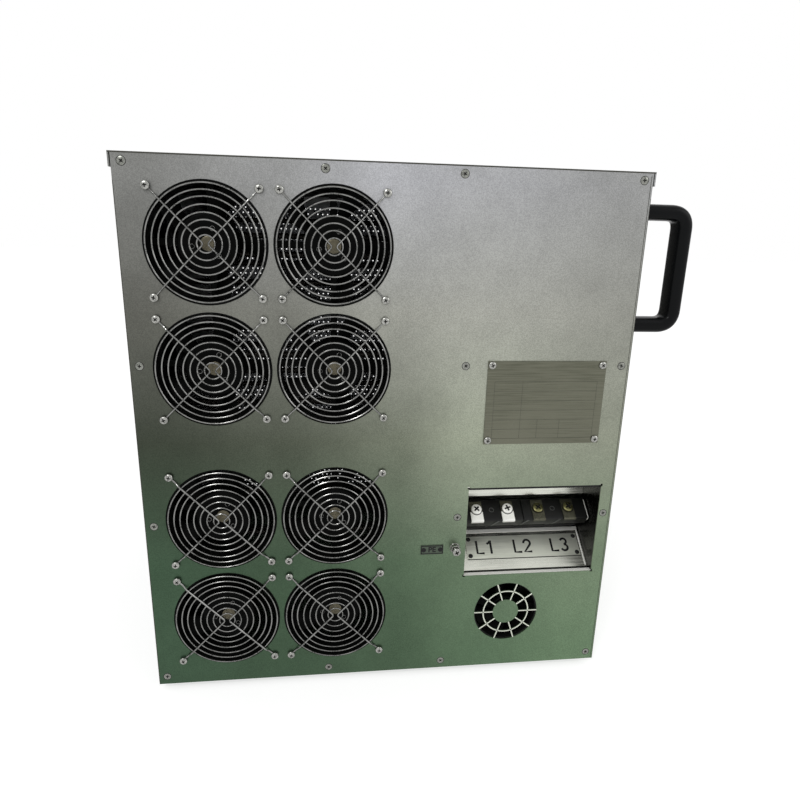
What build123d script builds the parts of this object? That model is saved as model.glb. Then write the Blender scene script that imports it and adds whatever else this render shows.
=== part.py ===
from build123d import *
import os
from math import cos, sin, radians, hypot

os.makedirs("parts", exist_ok=True)

# Portable forced-air load bank for testing generators. Millimetres, +Z up.
# The cabinet is drawn with the fan panel's outer face on y = 0, the middle of its width on x = 0
# and the lower edge of its panels on z = 0. The last lines move the whole object so that the
# bottom centre of its bounding box is the origin.

# ---- cabinet -------------------------------------------------------------------------------
CAB_W = 533.0          # width of the fan panel
CAB_D = 500.0          # depth, from the fan panel to the air outlet
CAB_H = 585.0          # height of the upright panels
SHEET = 1.5            # sheet steel of panels, tray, partition and lid
FRAME_LEG = 12.0       # leg of the welded angle frame inside the corners
TRAY_LIP = 18.0        # upturned edge of the base tray
FIT = 0.3              # clearance between pieces that slip past each other
LID_LIP = 14.0         # drop of the lid's side flanges
LID_GAP = 1.0          # space between lid flange and side panel
BAY_W = 196.5          # electrical bay, from its partition to the right edge of the fan panel
PARTITION_LIP = 14.5
FOOT_R = 15.0
FOOT_H = 10.0
FOOT_INSET = 40.0      # centre of a foot from the two nearest panels

# ---- panel screws ----------------------------------------------------------------------------
SCREW_HEAD_R = 4.0     # countersunk M4
SCREW_PROUD = 0.2
SCREW_EDGE = 9.5       # corner screws from the side edges of a panel
SCREW_MIDDLE = 68.7    # inner screws of the top and bottom rows from the middle of a panel
SCREW_DROP = 7.0       # top row below the upper edge
SCREW_RISE = 10.0      # bottom row above the lower edge
SCREW_LOW = 204.0      # side screws from the lower and the upper edge
SCREW_HIGH = 202.0
SCREW_LAP = 10.2       # partition's screws from its upright

# ---- eight main fans ---------------------------------------------------------------------------
FAN_EDGE = 82.0        # first column of fans from the left edge of the panel
FAN_PITCH = 123.9      # between the two columns
FAN_ROWS = (0.19, 0.066, 0.459, 0.058)    # shares of the panel's spare height above each row
FAN_HOLE_R = 59.75
FAN_SIDE = 119.0
FAN_DEPTH = 38.0
FAN_BORE_R = 58.0
FAN_SCREW = 52.4       # half of the screw square of a 120 mm fan
BLADE_COUNT = 5
BLADE_ROOT_TILT = 55.0 # degrees between a blade and the plane of the fan, at the hub
BLADE_TIP_TILT = 36.0
BLADE_SHEET = 1.5
BLADE_BURY = 3.0       # blade drawn on into the hub, and past the tip before it is trimmed
FLANGE_T = 4.0         # flanges at the two ends of a fan's housing
TIP_GAP = 1.5
HUB_R = 30.0
HUB_FACE = 18.0        # hub face behind the outer face of the panel
HUB_LENGTH = 15.0
MOTOR_R = 27.0
MOTOR_GAP = 0.4        # between hub and motor
SHAFT_R = 3.0
SHAFT_FIT = 0.05       # radial clearance of a shaft in its bearing
STRUT = 7.0

# ---- wire guard of a main fan ------------------------------------------------------------------
WIRE = 1.5             # ring wire
STAY = 1.8             # stay wire
RING_COUNT = 8
RING_INNER_R = 8.5
RING_PITCH = 6.9
RING_STANDOFF = 1.5    # rings clear of the panel face
STAY_STEP = 5.0        # length over which a stay steps out
VERTEX_X = 1.8         # half distance between the two bent stays at the middle
LOOP_R = 3.6           # eye at the end of a stay
LOOP_HOLE_R = 2.1

# ---- pan head screws --------------------------------------------------------------------------
PAN_R = 4.3
PAN_H = 2.6
PAN_SHANK_R = 1.9

# ---- small cooling fan of the electrical bay ---------------------------------------------------
VENT_EDGE = 119.6      # centre of the vent from the right edge
VENT_RISE = 75.3       # and above the lower edge
VENT_R = 39.3
VENT_RING_R = 28.0
VENT_WEB = 1.7
VENT_HUB_R = 16.0
VENT_SPOKES = 10
COOLER_SIDE = 80.0
COOLER_DEPTH = 25.0
COOLER_BORE_R = 38.0
COOLER_HUB_R = 17.0
COOLER_HUB_FACE = 5.0
COOLER_HUB_LENGTH = 14.0
COOLER_MOTOR_R = 15.0

# ---- terminal recess -----------------------------------------------------------------------------
CUT_EDGE = 15.7        # cut-out from the right edge of the panel
CUT_W = 159.0
CUT_RISE = 127.0       # and above its lower edge
CUT_H = 113.0
CUT_RELIEF = 1.5       # notches at the corners of the cut-out
TAB_DEPTH = 6.5        # tab folded inward below the cut-out
TAB_GAP = 4.5
RECESS_HIDDEN = 5.0    # the recess runs on behind the left edge of the cut-out
RECESS_LIP = 10.0
SHELF_ANGLE = 37.0
SHELF_LENGTH = 75.0
SHELF_TO_BACK = 46.0   # from the shelf up along the terminal block's rear
BACK_DEPTH = 46.0      # upright strip above it, behind the panel's face
WIRE_SLOT_DROP = 14.5  # slot for control wires in that strip, below the ceiling
WIRE_SLOT_H = 8.0
BLOCK_S = 43.5         # terminal block, measured up the shelf
BLOCK_W = 28.0
BLOCK_H = 44.5
BLOCK_BASE_H = 8.0
BLOCK_DECK_H = 15.0
BLOCK_UNDERCUT = 10.0  # foot of the block behind the front edge of its deck
BLOCK_END = 3.5        # end plate beyond the last pole
BARRIER_T = 2.5
POLE_COUNT = 4
POLE_PITCH = 38.4
POLE_EDGE = 18.1       # first pole from the left edge of the cut-out
TERMINAL_R = 6.3
TERMINAL_H = 3.5
TERMINAL_SHANK_R = 3.0
LUG_W = 15.0
LUG_T = 1.6
LUG_LIP = 2.5
PLATE_EDGE = 4.8       # phase plate on the shelf, from the right edge of the cut-out
PLATE_W = 144.5
PLATE_S = 13.9         # lower edge, up the shelf
PLATE_H = 29.6
PLATE_T = 1.0
RIVET_R = 2.2
RIVET_H = 1.2
RIVET_INSET = 4.0

# ---- earth stud, tag and nameplate ------------------------------------------------------------
STUD_TO_CUT = 12.8     # stud from the left edge of the cut-out
STUD_RISE = 165.0      # and above the lower edge of the panel
STUD_R = 3.0
STUD_HEAD_R = 4.6
STUD_HEAD_H = 3.2
STUD_OUT = 14.0
NUT_FLATS = 10.0
NUT_H = 5.0
WASHER_R = 6.0
WASHER_T = 1.2
TAG_TO_STUD = 13.7
TAG_W = 26.8
TAG_H = 11.6
TAG_T = 0.8
TAG_INSET = 3.5        # rivets from the ends of the tag
TAG_DROP = 1.4         # middle of the tag below the stud
NAME_EDGE = 27.3       # nameplate from the right edge of the panel
NAME_W = 134.5
NAME_RISE = 53.4       # and above the cut-out
NAME_H = 95.2
NAME_T = 1.0
NAME_SCREW_INSET = 4.6

# ---- handles on the control panel --------------------------------------------------------------
HANDLE_EDGE = 18.0     # centre of a handle from the nearest panel
HANDLE_DROP = 97.5     # and below the upper edge
HANDLE_SPAN = 120.0    # between the two fixing screws
HANDLE_REACH = 57.0
GRIP_Y = 26.0
GRIP_X = 17.0
GRIP_CHAMFER = 5.0
GRIP_BEND_R = 14.0

# ---- controls: heights and depths on the control panel -------------------------------------------
METER_DROP = 98.0      # all heights are measured down from the upper edge of the panel
METER_SIDE = 96.0
METER_CUT = 91.0
METER_BEZEL = 8.0
METER_BODY_DEPTH = 60.0
METER_BORDER = 9.0
METER_SCREEN_DEPTH = 2.0
LAMP_DROP = 190.0
LAMP_R = 11.0
LAMP_COLLAR_R = 14.5
LAMP_PITCH = 60.0
LAMP_COUNT = 3
SWITCH_DROP = 270.0
SWITCH_PITCH = 60.0
SWITCH_COUNT = 5
SWITCH_COLLAR_R = 14.5
SWITCH_COLLAR_H = 4.0
PANEL_HOLE_R = 11.2    # 22 mm control devices
DEVICE_R = 11.0
DEVICE_DEPTH = 42.0
KNOB_R = 11.8
KNOB_H = 7.0
GRIP_BAR_W = 6.5
GRIP_BAR_H = 10.0
SPINDLE_R = 3.0
SPINDLE_LENGTH = 8.0
STOP_EDGE = 115.0      # from the outlet panel
STOP_COLLAR_R = 30.0
STOP_COLLAR_H = 2.5
STOP_TRAVEL = 5.0
STOP_STEM_R = 7.0
STOP_HEAD_R = 20.0
STOP_NECK_R = 12.0
STOP_NECK_H = 6.0
STOP_HEAD_H = 10.0
SUPPLY_DROP = 360.0    # mains inlet for fans and controls, with its switch above the socket
INLET_BEZEL_W = 32.0
INLET_BEZEL_H = 60.0
INLET_BEZEL_T = 3.0
INLET_BODY_W = 27.0
INLET_BODY_H = 50.0
INLET_BODY_DEPTH = 28.0
SOCKET_W = 24.5
SOCKET_H = 17.0
SOCKET_DEPTH = 16.0
SOCKET_DROP = 11.5
ROCKER_W = 20.0
ROCKER_HALF = 8.0      # half height of the rocker
ROCKER_RISE = 13.0     # pivot above the middle of the inlet
ROCKER_FACE = 4.5      # front corners of the rocker ahead of the pivot
ROCKER_WAIST = 2.5     # middle of its face ahead of the pivot
ROCKER_BACK = 4.0
ROCKER_SUNK = 1.5      # pivot behind the bezel's face
ROCKER_TILT = 12.0     # either side of the middle position
ROCKER_PIN_R = 1.5
ROCKER_PIN = 1.5

# ---- air duct: resistor elements and outlet ------------------------------------------------------
ELEMENT_R = 8.0
ELEMENT_ROWS = 8
ELEMENT_COLUMNS = 3
ELEMENT_MARGIN = 75.0  # first and last row from the ends of the duct
ELEMENT_PITCH = 90.0   # between the columns
ELEMENT_DEPTH = 150.0  # first column behind the fan panel
ELEMENT_STAGGER = 0.33 # each column above the one before it, as a share of the row spacing
RACK_OVERHANG = 30.0   # end plates above the last row
RACK_INSET = 22.0
OUTLET_MARGIN = 28.0
OUTLET_FOLD = 8.0      # edge of the window folded inward, to carry the grille
OUTLET_BARS = 22
GRILLE_T = 1.5
GRILLE_EDGE = 10.0

# ---- electrical bay --------------------------------------------------------------------------------
BAY_PLATE_BACK = 170.0 # mounting plate from the outlet panel
BAY_PLATE_FOOT = 60.0
BAY_PLATE_HEAD = 45.0
BAY_PLATE_INSET = 12.0
CONTACTOR_COUNT = 5
CONTACTOR_W = 45.0
CONTACTOR_H = 74.0
CONTACTOR_DEPTH = 80.0
CONTACTOR_FOOT = 50.0  # lowest contactor above the foot of the plate
CONTACTOR_PITCH = 87.0
BOARD_W = 70.0
BOARD_H = 160.0
BOARD_T = 1.6
BOARD_STANDOFF = 12.0
BOARD_DROP = 125.0     # top of the board below the upper edge of the panels

# ---- places worked out from the sizes --------------------------------------------------------------
SIDE_X = CAB_W / 2
INNER_X = SIDE_X - SHEET
INNER_Y0 = SHEET
INNER_Y1 = CAB_D - SHEET
PARTITION_X = SIDE_X - BAY_W
CUT_X1 = SIDE_X - CUT_EDGE
CUT_X0 = CUT_X1 - CUT_W
CUT_Z0 = CUT_RISE
CUT_Z1 = CUT_RISE + CUT_H
RECESS_X0 = CUT_X0 - RECESS_HIDDEN
POLES = [CUT_X0 + POLE_EDGE + i * POLE_PITCH for i in range(POLE_COUNT)]
VENT_X = SIDE_X - VENT_EDGE
VENT_Z = VENT_RISE
STUD_X = CUT_X0 - STUD_TO_CUT
STUD_Z = STUD_RISE
TAG_X1 = STUD_X - TAG_TO_STUD
TAG_Z = STUD_RISE - TAG_DROP
NAME_X1 = SIDE_X - NAME_EDGE
NAME_X0 = NAME_X1 - NAME_W
NAME_Z0 = CUT_Z1 + NAME_RISE
NAME_Z1 = NAME_Z0 + NAME_H
PLATE_X1 = CUT_X1 - PLATE_EDGE
PLATE_X0 = PLATE_X1 - PLATE_W
MIDDLE_Y = CAB_D / 2
HANDLE_Z = CAB_H - HANDLE_DROP
METER_Z = CAB_H - METER_DROP
LAMP_Z = CAB_H - LAMP_DROP
SWITCH_Z = CAB_H - SWITCH_DROP
STOP_Y = CAB_D - STOP_EDGE
STOP_Z = METER_Z
SUPPLY_Z = CAB_H - SUPPLY_DROP
BAY_PLATE_Y = CAB_D - BAY_PLATE_BACK
FAN_COLUMNS = [-SIDE_X + FAN_EDGE, -SIDE_X + FAN_EDGE + FAN_PITCH]
SPARE_H = CAB_H - len(FAN_ROWS) * FAN_SIDE
FAN_HEIGHTS = [CAB_H - sum(FAN_ROWS[:i + 1]) * SPARE_H - (i + 0.5) * FAN_SIDE
               for i in range(len(FAN_ROWS))]
FANS = [(x, z) for z in FAN_HEIGHTS for x in FAN_COLUMNS]
nodes = {}


def block(x0, x1, y0, y1, z0, z1):
    """Box between two opposite corners."""
    return Pos((x0 + x1) / 2, (y0 + y1) / 2, (z0 + z1) / 2) * Box(x1 - x0, y1 - y0, z1 - z0)


def rod_x(radius, x0, x1, y, z):
    return Pos((x0 + x1) / 2, y, z) * Rot(0, 90, 0) * Cylinder(radius, x1 - x0)


def rod_y(radius, y0, y1, x, z):
    return Pos(x, (y0 + y1) / 2, z) * Rot(90, 0, 0) * Cylinder(radius, y1 - y0)


def hex_y(radius, y0, y1, x, z, sides=6):
    """Prism along Y, for small fasteners."""
    face = Plane((x, y1, z), x_dir=(1, 0, 0), z_dir=(0, -1, 0)) * RegularPolygon(radius, sides)
    return extrude(face, y1 - y0)


def hex_x(radius, x0, x1, y, z, sides=6):
    face = Plane((x0, y, z), x_dir=(0, 1, 0), z_dir=(1, 0, 0)) * RegularPolygon(radius, sides)
    return extrude(face, x1 - x0)


def add(name, *shapes):
    """Keep a node: one piece, or a group of like pieces."""
    nodes[name] = shapes[0] if len(shapes) == 1 else Compound(children=list(shapes))


# ---- base tray, welded frame, partition, feet ----------------------------------------------------
FRAME_TOP = CAB_H - SHEET
TRAY_TOP = SHEET + TRAY_LIP
FRAME_LIP_Z = CAB_H - FRAME_LEG


def base_tray():
    """Floor with four upturned edges that stop short of the corner posts."""
    x_lip = INNER_X - FRAME_LEG - FIT
    y_lip = FRAME_LEG + FIT
    tray = block(-INNER_X, INNER_X, INNER_Y0, INNER_Y1, 0, SHEET)
    for y in (INNER_Y0, INNER_Y1 - SHEET):
        tray += block(-x_lip, x_lip, y, y + SHEET, SHEET, TRAY_TOP)
    for x in (-INNER_X, INNER_X - SHEET):
        tray += block(x, x + SHEET, INNER_Y0 + y_lip, INNER_Y1 - y_lip, SHEET, TRAY_TOP)
    return tray


def inner_frame():
    """Four angle posts under a ring of angle that carries the lid."""
    ring = block(-INNER_X, INNER_X, INNER_Y0, INNER_Y1, FRAME_LIP_Z, CAB_H)
    ring -= block(-INNER_X + SHEET, INNER_X - SHEET, INNER_Y0 + SHEET, INNER_Y1 - SHEET,
                  FRAME_LIP_Z, FRAME_TOP)
    ring -= block(-INNER_X + FRAME_LEG, INNER_X - FRAME_LEG, INNER_Y0 + FRAME_LEG,
                  INNER_Y1 - FRAME_LEG, FRAME_TOP, CAB_H)
    frame = ring
    for x0, x1, web in ((-INNER_X, -INNER_X + FRAME_LEG, -INNER_X),
                        (INNER_X - FRAME_LEG, INNER_X, INNER_X - SHEET)):
        for y0, y1, flange in ((INNER_Y0, INNER_Y0 + FRAME_LEG, INNER_Y0),
                               (INNER_Y1 - FRAME_LEG, INNER_Y1, INNER_Y1 - SHEET)):
            frame += block(x0, x1, flange, flange + SHEET, SHEET, FRAME_TOP)
            frame += block(web, web + SHEET, y0, y1, SHEET, FRAME_TOP)
    return frame


def partition():
    """Upright sheet from front to back, with a folded edge on each end panel."""
    x1 = PARTITION_X + SHEET
    sheet = block(PARTITION_X, x1, INNER_Y0 + SHEET, INNER_Y1 - SHEET, SHEET, FRAME_LIP_Z - FIT)
    for y in (INNER_Y0, INNER_Y1 - SHEET):
        sheet += block(PARTITION_X, PARTITION_X + PARTITION_LIP, y, y + SHEET,
                       TRAY_TOP + FIT, FRAME_LIP_Z - FIT)
    return sheet - rod_y(STUD_R + SHAFT_FIT, 0, 2 * SHEET, STUD_X, STUD_Z)


def feet():
    xs = (-SIDE_X + FOOT_INSET, SIDE_X - FOOT_INSET)
    ys = (FOOT_INSET, CAB_D - FOOT_INSET)
    return [Pos(x, y, -FOOT_H / 2) * Cylinder(FOOT_R, FOOT_H) for x in xs for y in ys]


def top_cover():
    """Lid with a flange down each side."""
    half = SIDE_X + LID_GAP + SHEET
    lid = block(-half, half, 0, CAB_D, CAB_H, CAB_H + SHEET)
    for x in (-half, half - SHEET):
        lid += block(x, x + SHEET, 0, CAB_D, CAB_H + SHEET - LID_LIP, CAB_H)
    return lid


# ---- fan panel ---------------------------------------------------------------------------------------
def vent_slots():
    """Openings of the round vent: two rings of slots between spokes, around a blank disc."""
    outer = Circle(VENT_R) - Circle(VENT_RING_R + VENT_WEB / 2)
    inner = Circle(VENT_RING_R - VENT_WEB / 2) - Circle(VENT_HUB_R)
    slots = outer + inner
    for i in range(VENT_SPOKES):
        spoke = Pos(VENT_R / 2 + 1, 0) * Rectangle(VENT_R + 2, VENT_WEB)
        slots -= Rot(0, 0, i * 360 / VENT_SPOKES) * spoke
    plane = Plane((VENT_X, SHEET, VENT_Z), x_dir=(1, 0, 0), z_dir=(0, -1, 0))
    return extrude(plane * slots, SHEET)


def recess_cut():
    """Rectangular cut-out with bend reliefs at its corners."""
    cut = block(CUT_X0, CUT_X1, 0, SHEET, CUT_Z0, CUT_Z1)
    for x in (CUT_X0, CUT_X1):
        for z in (CUT_Z0, CUT_Z1):
            cut += block(x - CUT_RELIEF, x + CUT_RELIEF, 0, SHEET, z - CUT_RELIEF, z + CUT_RELIEF)
    return cut


def fan_panel():
    panel = block(-SIDE_X, SIDE_X, 0, SHEET, 0, CAB_H)
    for x, z in FANS:
        panel -= rod_y(FAN_HOLE_R, 0, SHEET, x, z)
    panel -= vent_slots()
    panel -= recess_cut()
    panel -= rod_y(STUD_R + SHAFT_FIT, 0, SHEET, STUD_X, STUD_Z)
    tab_x0 = CUT_X0 + CUT_RELIEF
    tab_x1 = CUT_X1 - CUT_RELIEF
    return panel + block(tab_x0, tab_x1, 0, TAB_DEPTH, CUT_Z0 - SHEET, CUT_Z0)


# ---- axial fans -----------------------------------------------------------------------------------------
def fan_frame(side, depth, bore_r, motor_r, motor_y, bearing_r):
    """Round duct between two square flanges, and a motor held by four struts at its back."""
    back = SHEET + depth
    square = block(-side / 2, side / 2, SHEET, back, -side / 2, side / 2)
    waist = (SHEET + FLANGE_T, back - FLANGE_T)
    corners = block(-side / 2, side / 2, *waist, -side / 2, side / 2) - rod_y(side / 2, *waist, 0, 0)
    frame = square - corners - rod_y(bore_r, SHEET, back, 0, 0)
    strut_y = back - STRUT / 2
    reach = bore_r + 1
    spider = block(-reach, reach, strut_y, back, -STRUT / 2, STRUT / 2)
    spider += block(-STRUT / 2, STRUT / 2, strut_y, back, -reach, reach)
    spider += rod_y(motor_r, motor_y, back, 0, 0)
    return frame + spider - rod_y(bearing_r, motor_y, back, 0, 0)


def fan_rotor(hub_r, tip_r, face, length, shaft_end, count):
    """Hub with twisted blades on a shaft. The blades flatten outward and end on the duct's curve."""
    mid = face + length / 2
    ends = []
    for x, tilt in ((hub_r - BLADE_BURY, BLADE_ROOT_TILT), (tip_r + BLADE_BURY, BLADE_TIP_TILT)):
        chord = (length - BLADE_SHEET) / sin(radians(tilt))
        plane = Plane((x, mid, 0), x_dir=(0, 1, 0), z_dir=(1, 0, 0))
        ends.append(plane * (Rot(0, 0, 90 - tilt) * Rectangle(chord, BLADE_SHEET)))
    blade = loft(ends, ruled=True)
    blade &= rod_y(tip_r, face, face + length, 0, 0)
    rotor = rod_y(hub_r, face, face + length, 0, 0)
    for i in range(count):
        rotor += Rot(0, i * 360 / count, 0) * blade
    return rotor + rod_y(SHAFT_R, face + length, shaft_end, 0, 0)


def wire_ring(radius):
    """Guard ring with its flat side on the stays."""
    front = -RING_STANDOFF - WIRE
    outline = Polyline((radius - WIRE / 2, front), (radius + WIRE / 2, front),
                       (radius, -RING_STANDOFF), close=True)
    return revolve(make_face(outline), axis=Axis.Y)


def bent_stay(side):
    """Stay wire from an eye at the top, in to the middle and back out to an eye below."""
    inner = -RING_STANDOFF - WIRE
    piece = None
    for dz in (1, -1):
        start = Vector(side * FAN_SCREW, 0, dz * FAN_SCREW)
        run = Vector(side * VERTEX_X, 0, 0) - start
        plane = Plane(start, x_dir=run, z_dir=(-run.Z, 0, run.X))
        step = start.length - FAN_HOLE_R - STAY_STEP
        points = [(LOOP_HOLE_R, 0), (step, 0), (step + STAY_STEP, inner), (run.length, inner),
                  (run.length, inner - STAY), (step + STAY_STEP, inner - STAY), (step, -STAY),
                  (LOOP_HOLE_R, -STAY)]
        leg = extrude(plane * make_face(Polyline(*points, close=True)), STAY / 2, both=True)
        eye = hex_y(LOOP_R, -STAY, 0, start.X, start.Z)
        leg = leg + eye - hex_y(LOOP_HOLE_R, -STAY, 0, start.X, start.Z)
        piece = leg if piece is None else piece + leg
    return piece


def fan_guard():
    rings = [wire_ring(RING_INNER_R + i * RING_PITCH) for i in range(RING_COUNT)]
    return rings + [bent_stay(-1), bent_stay(1)]


def pan_screw(x, z, seat, shank_end):
    """Pan head screw, drawn with six flats, with its head on y = seat."""
    return (hex_y(PAN_R, seat - PAN_H, seat, x, z)
            + hex_y(PAN_SHANK_R, seat, shank_end, x, z))


# ---- terminal recess, drawn on the (y, z) plane --------------------------------------------------------
SHELF_Y = TAB_DEPTH + TAB_GAP
COS_SHELF = cos(radians(SHELF_ANGLE))
SIN_SHELF = sin(radians(SHELF_ANGLE))


def on_shelf(s, n):
    """Point at s up the shelf and n above it, as (y, z)."""
    return (SHELF_Y + s * COS_SHELF - n * SIN_SHELF, CUT_Z0 + s * SIN_SHELF + n * COS_SHELF)


def shelf_plate(x0, x1, corners):
    """Plate upright on the shelf, from its corners as (s, n)."""
    points = [on_shelf(s, n) for s, n in corners]
    outline = Plane((x0, 0, 0), x_dir=(0, 1, 0), z_dir=(1, 0, 0)) * Polyline(*points, close=True)
    return extrude(make_face(outline), x1 - x0)


def shelf_block(x0, x1, s0, s1, n0, n1):
    """Box that stands square on the shelf."""
    return shelf_plate(x0, x1, [(s0, n0), (s1, n0), (s1, n1), (s0, n1)])


def shelf_rod(radius, x, s, n0, n1, sides=0):
    """Rod, or prism with flats, that stands square on the shelf."""
    y, z = on_shelf(s, n0)
    plane = Plane((x, y, z), x_dir=(1, 0, 0), z_dir=(0, -SIN_SHELF, COS_SHELF))
    outline = RegularPolygon(radius, sides) if sides else Circle(radius)
    return extrude(plane * outline, n1 - n0)


def terminal_recess():
    """Folded box: ceiling, upright back strip, slanting back and shelf, with two end walls."""
    low_back = on_shelf(SHELF_LENGTH, 0)
    top_back = on_shelf(SHELF_LENGTH, SHELF_TO_BACK)
    cavity = Polyline((SHEET, CUT_Z1), (BACK_DEPTH, CUT_Z1), (BACK_DEPTH, top_back[1]), low_back,
                      (SHELF_Y, CUT_Z0), (SHEET, CUT_Z0), close=True)
    plane = Plane((RECESS_X0, 0, 0), x_dir=(0, 1, 0), z_dir=(1, 0, 0))
    room = make_face(cavity)
    shell = offset(room, SHEET, kind=Kind.INTERSECTION)
    width = CUT_X1 - RECESS_X0
    box = extrude(plane * shell, width + SHEET) + extrude(plane * shell, -SHEET)
    box -= extrude(plane * room, width)
    reach = 2 * BACK_DEPTH
    box -= block(RECESS_X0 - reach, CUT_X1 + reach, -reach, SHEET, 0, CAB_H)
    box -= block(RECESS_X0 - SHEET, CUT_X1 + SHEET, 0, SHELF_Y, CUT_Z0 - 2 * SHEET, CUT_Z0)
    slot_top = CUT_Z1 - WIRE_SLOT_DROP
    box -= block(RECESS_X0, CUT_X1, BACK_DEPTH, BACK_DEPTH + SHEET, slot_top - WIRE_SLOT_H, slot_top)
    return box + block(RECESS_X0 - SHEET, CUT_X1 + SHEET, SHEET, 2 * SHEET,
                       CUT_Z1 + SHEET, CUT_Z1 + RECESS_LIP)


def terminal_block():
    """Black moulding: foot, rear wall, and a deck on slanted webs that carries the lugs."""
    half = POLE_PITCH / 2
    x0 = POLES[0] - half + BARRIER_T / 2
    x1 = POLES[-1] + half + BARRIER_T / 2 + BLOCK_END
    s1 = BLOCK_S + BLOCK_W
    foot = BLOCK_S + BLOCK_UNDERCUT
    deck = BLOCK_H - BLOCK_DECK_H
    body = shelf_block(x0, x1, foot, s1, 0, BLOCK_BASE_H)
    body += shelf_block(x0, x1, BLOCK_S + BLOCK_W / 2, s1, BLOCK_BASE_H, BLOCK_H)
    body += shelf_block(x0, x1, BLOCK_S, s1, deck, BLOCK_H)
    for pole in POLES:
        web_x = pole + half
        body += shelf_plate(web_x - BARRIER_T / 2, web_x + BARRIER_T / 2,
                            [(foot, BLOCK_BASE_H), (s1, BLOCK_BASE_H), (s1, deck), (BLOCK_S, deck)])
    for pole in POLES:
        body -= shelf_rod(TERMINAL_SHANK_R + SHAFT_FIT, pole, BLOCK_S + BLOCK_W / 2,
                          BLOCK_H - BLOCK_DECK_H, BLOCK_H, 6)
    return body


def terminal_lug(x):
    """Metal strip under the screw, folded down over the front edge of the deck."""
    middle = BLOCK_S + BLOCK_W / 2
    lug = shelf_block(x - LUG_W / 2, x + LUG_W / 2, BLOCK_S - LUG_T, middle + TERMINAL_R,
                      BLOCK_H, BLOCK_H + LUG_T)
    lug += shelf_block(x - LUG_W / 2, x + LUG_W / 2, BLOCK_S - LUG_T, BLOCK_S,
                       BLOCK_H - LUG_LIP, BLOCK_H)
    return lug - shelf_rod(TERMINAL_SHANK_R + SHAFT_FIT, x, middle, BLOCK_H, BLOCK_H + LUG_T, 6)


def terminal_screw(x):
    middle = BLOCK_S + BLOCK_W / 2
    seat = BLOCK_H + LUG_T
    return (shelf_rod(TERMINAL_R, x, middle, seat, seat + TERMINAL_H)
            + shelf_rod(TERMINAL_SHANK_R, x, middle, BLOCK_H - BLOCK_DECK_H, seat, 6))


def pe_stud():
    """Earth stud through panel and partition, with washer, nut and head outside, nut inside."""
    inside = INNER_Y0 + SHEET
    stud = rod_y(STUD_R, -STUD_OUT, inside + NUT_H, STUD_X, STUD_Z)
    stud += rod_y(WASHER_R, -WASHER_T, 0, STUD_X, STUD_Z)
    nut_r = NUT_FLATS / 2 / cos(radians(30))
    stud += hex_y(nut_r, -WASHER_T - NUT_H, -WASHER_T, STUD_X, STUD_Z)
    stud += hex_y(nut_r, inside, inside + NUT_H, STUD_X, STUD_Z)
    return stud + rod_y(STUD_HEAD_R, -STUD_OUT - STUD_HEAD_H, -STUD_OUT, STUD_X, STUD_Z)


# ---- control panel ------------------------------------------------------------------------------------------
def row_of(count, pitch):
    """Depths of a row of like devices, centred on the panel."""
    return [MIDDLE_Y + (i - (count - 1) / 2) * pitch for i in range(count)]


LAMP_Y = row_of(LAMP_COUNT, LAMP_PITCH)
SWITCH_Y = row_of(SWITCH_COUNT, SWITCH_PITCH)
BODY_X = SIDE_X - SHEET - DEVICE_DEPTH


def control_panel():
    panel = block(INNER_X, SIDE_X, INNER_Y0, INNER_Y1, 0, CAB_H)
    half = METER_CUT / 2 + FIT
    panel -= block(INNER_X, SIDE_X, MIDDLE_Y - half, MIDDLE_Y + half, METER_Z - half, METER_Z + half)
    holes = [(y, LAMP_Z) for y in LAMP_Y] + [(y, SWITCH_Z) for y in SWITCH_Y] + [(STOP_Y, STOP_Z)]
    for y, z in holes:
        panel -= rod_x(PANEL_HOLE_R, INNER_X, SIDE_X, y, z)
    half_y = INLET_BODY_W / 2 + FIT
    half_z = INLET_BODY_H / 2 + FIT
    return panel - block(INNER_X, SIDE_X, MIDDLE_Y - half_y, MIDDLE_Y + half_y,
                         SUPPLY_Z - half_z, SUPPLY_Z + half_z)


def handle(y):
    """Bar grip bent from a flattened section, square on to the panel."""
    top = HANDLE_Z + HANDLE_SPAN / 2
    base = HANDLE_Z - HANDLE_SPAN / 2
    bar_x = SIDE_X + HANDLE_REACH - GRIP_X / 2
    path = FilletPolyline((SIDE_X, y, base), (bar_x, y, base), (bar_x, y, top), (SIDE_X, y, top),
                          radius=GRIP_BEND_R)
    section = Plane((SIDE_X, y, base), x_dir=(0, 1, 0), z_dir=(1, 0, 0)) * chamfer(
        Rectangle(GRIP_Y, GRIP_X).vertices(), GRIP_CHAMFER)
    return sweep(section, path=path)


def power_meter():
    """Panel meter: bezel with a sunk screen, and a body behind the panel."""
    half = METER_SIDE / 2
    body = METER_CUT / 2
    meter = block(SIDE_X, SIDE_X + METER_BEZEL, MIDDLE_Y - half, MIDDLE_Y + half,
                  METER_Z - half, METER_Z + half)
    edge = half - METER_BORDER
    meter -= block(SIDE_X + METER_BEZEL - METER_SCREEN_DEPTH, SIDE_X + METER_BEZEL, MIDDLE_Y - edge,
                   MIDDLE_Y + edge, METER_Z - edge, METER_Z + edge)
    return meter + block(INNER_X - METER_BODY_DEPTH, SIDE_X, MIDDLE_Y - body, MIDDLE_Y + body,
                         METER_Z - body, METER_Z + body)


def pilot_lamp(y):
    return (rod_x(DEVICE_R, BODY_X, SIDE_X, y, LAMP_Z)
            + rod_x(LAMP_COLLAR_R, SIDE_X, SIDE_X + SWITCH_COLLAR_H, y, LAMP_Z)
            + rod_x(LAMP_R, SIDE_X, SIDE_X + 2 * SWITCH_COLLAR_H, y, LAMP_Z))


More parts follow.
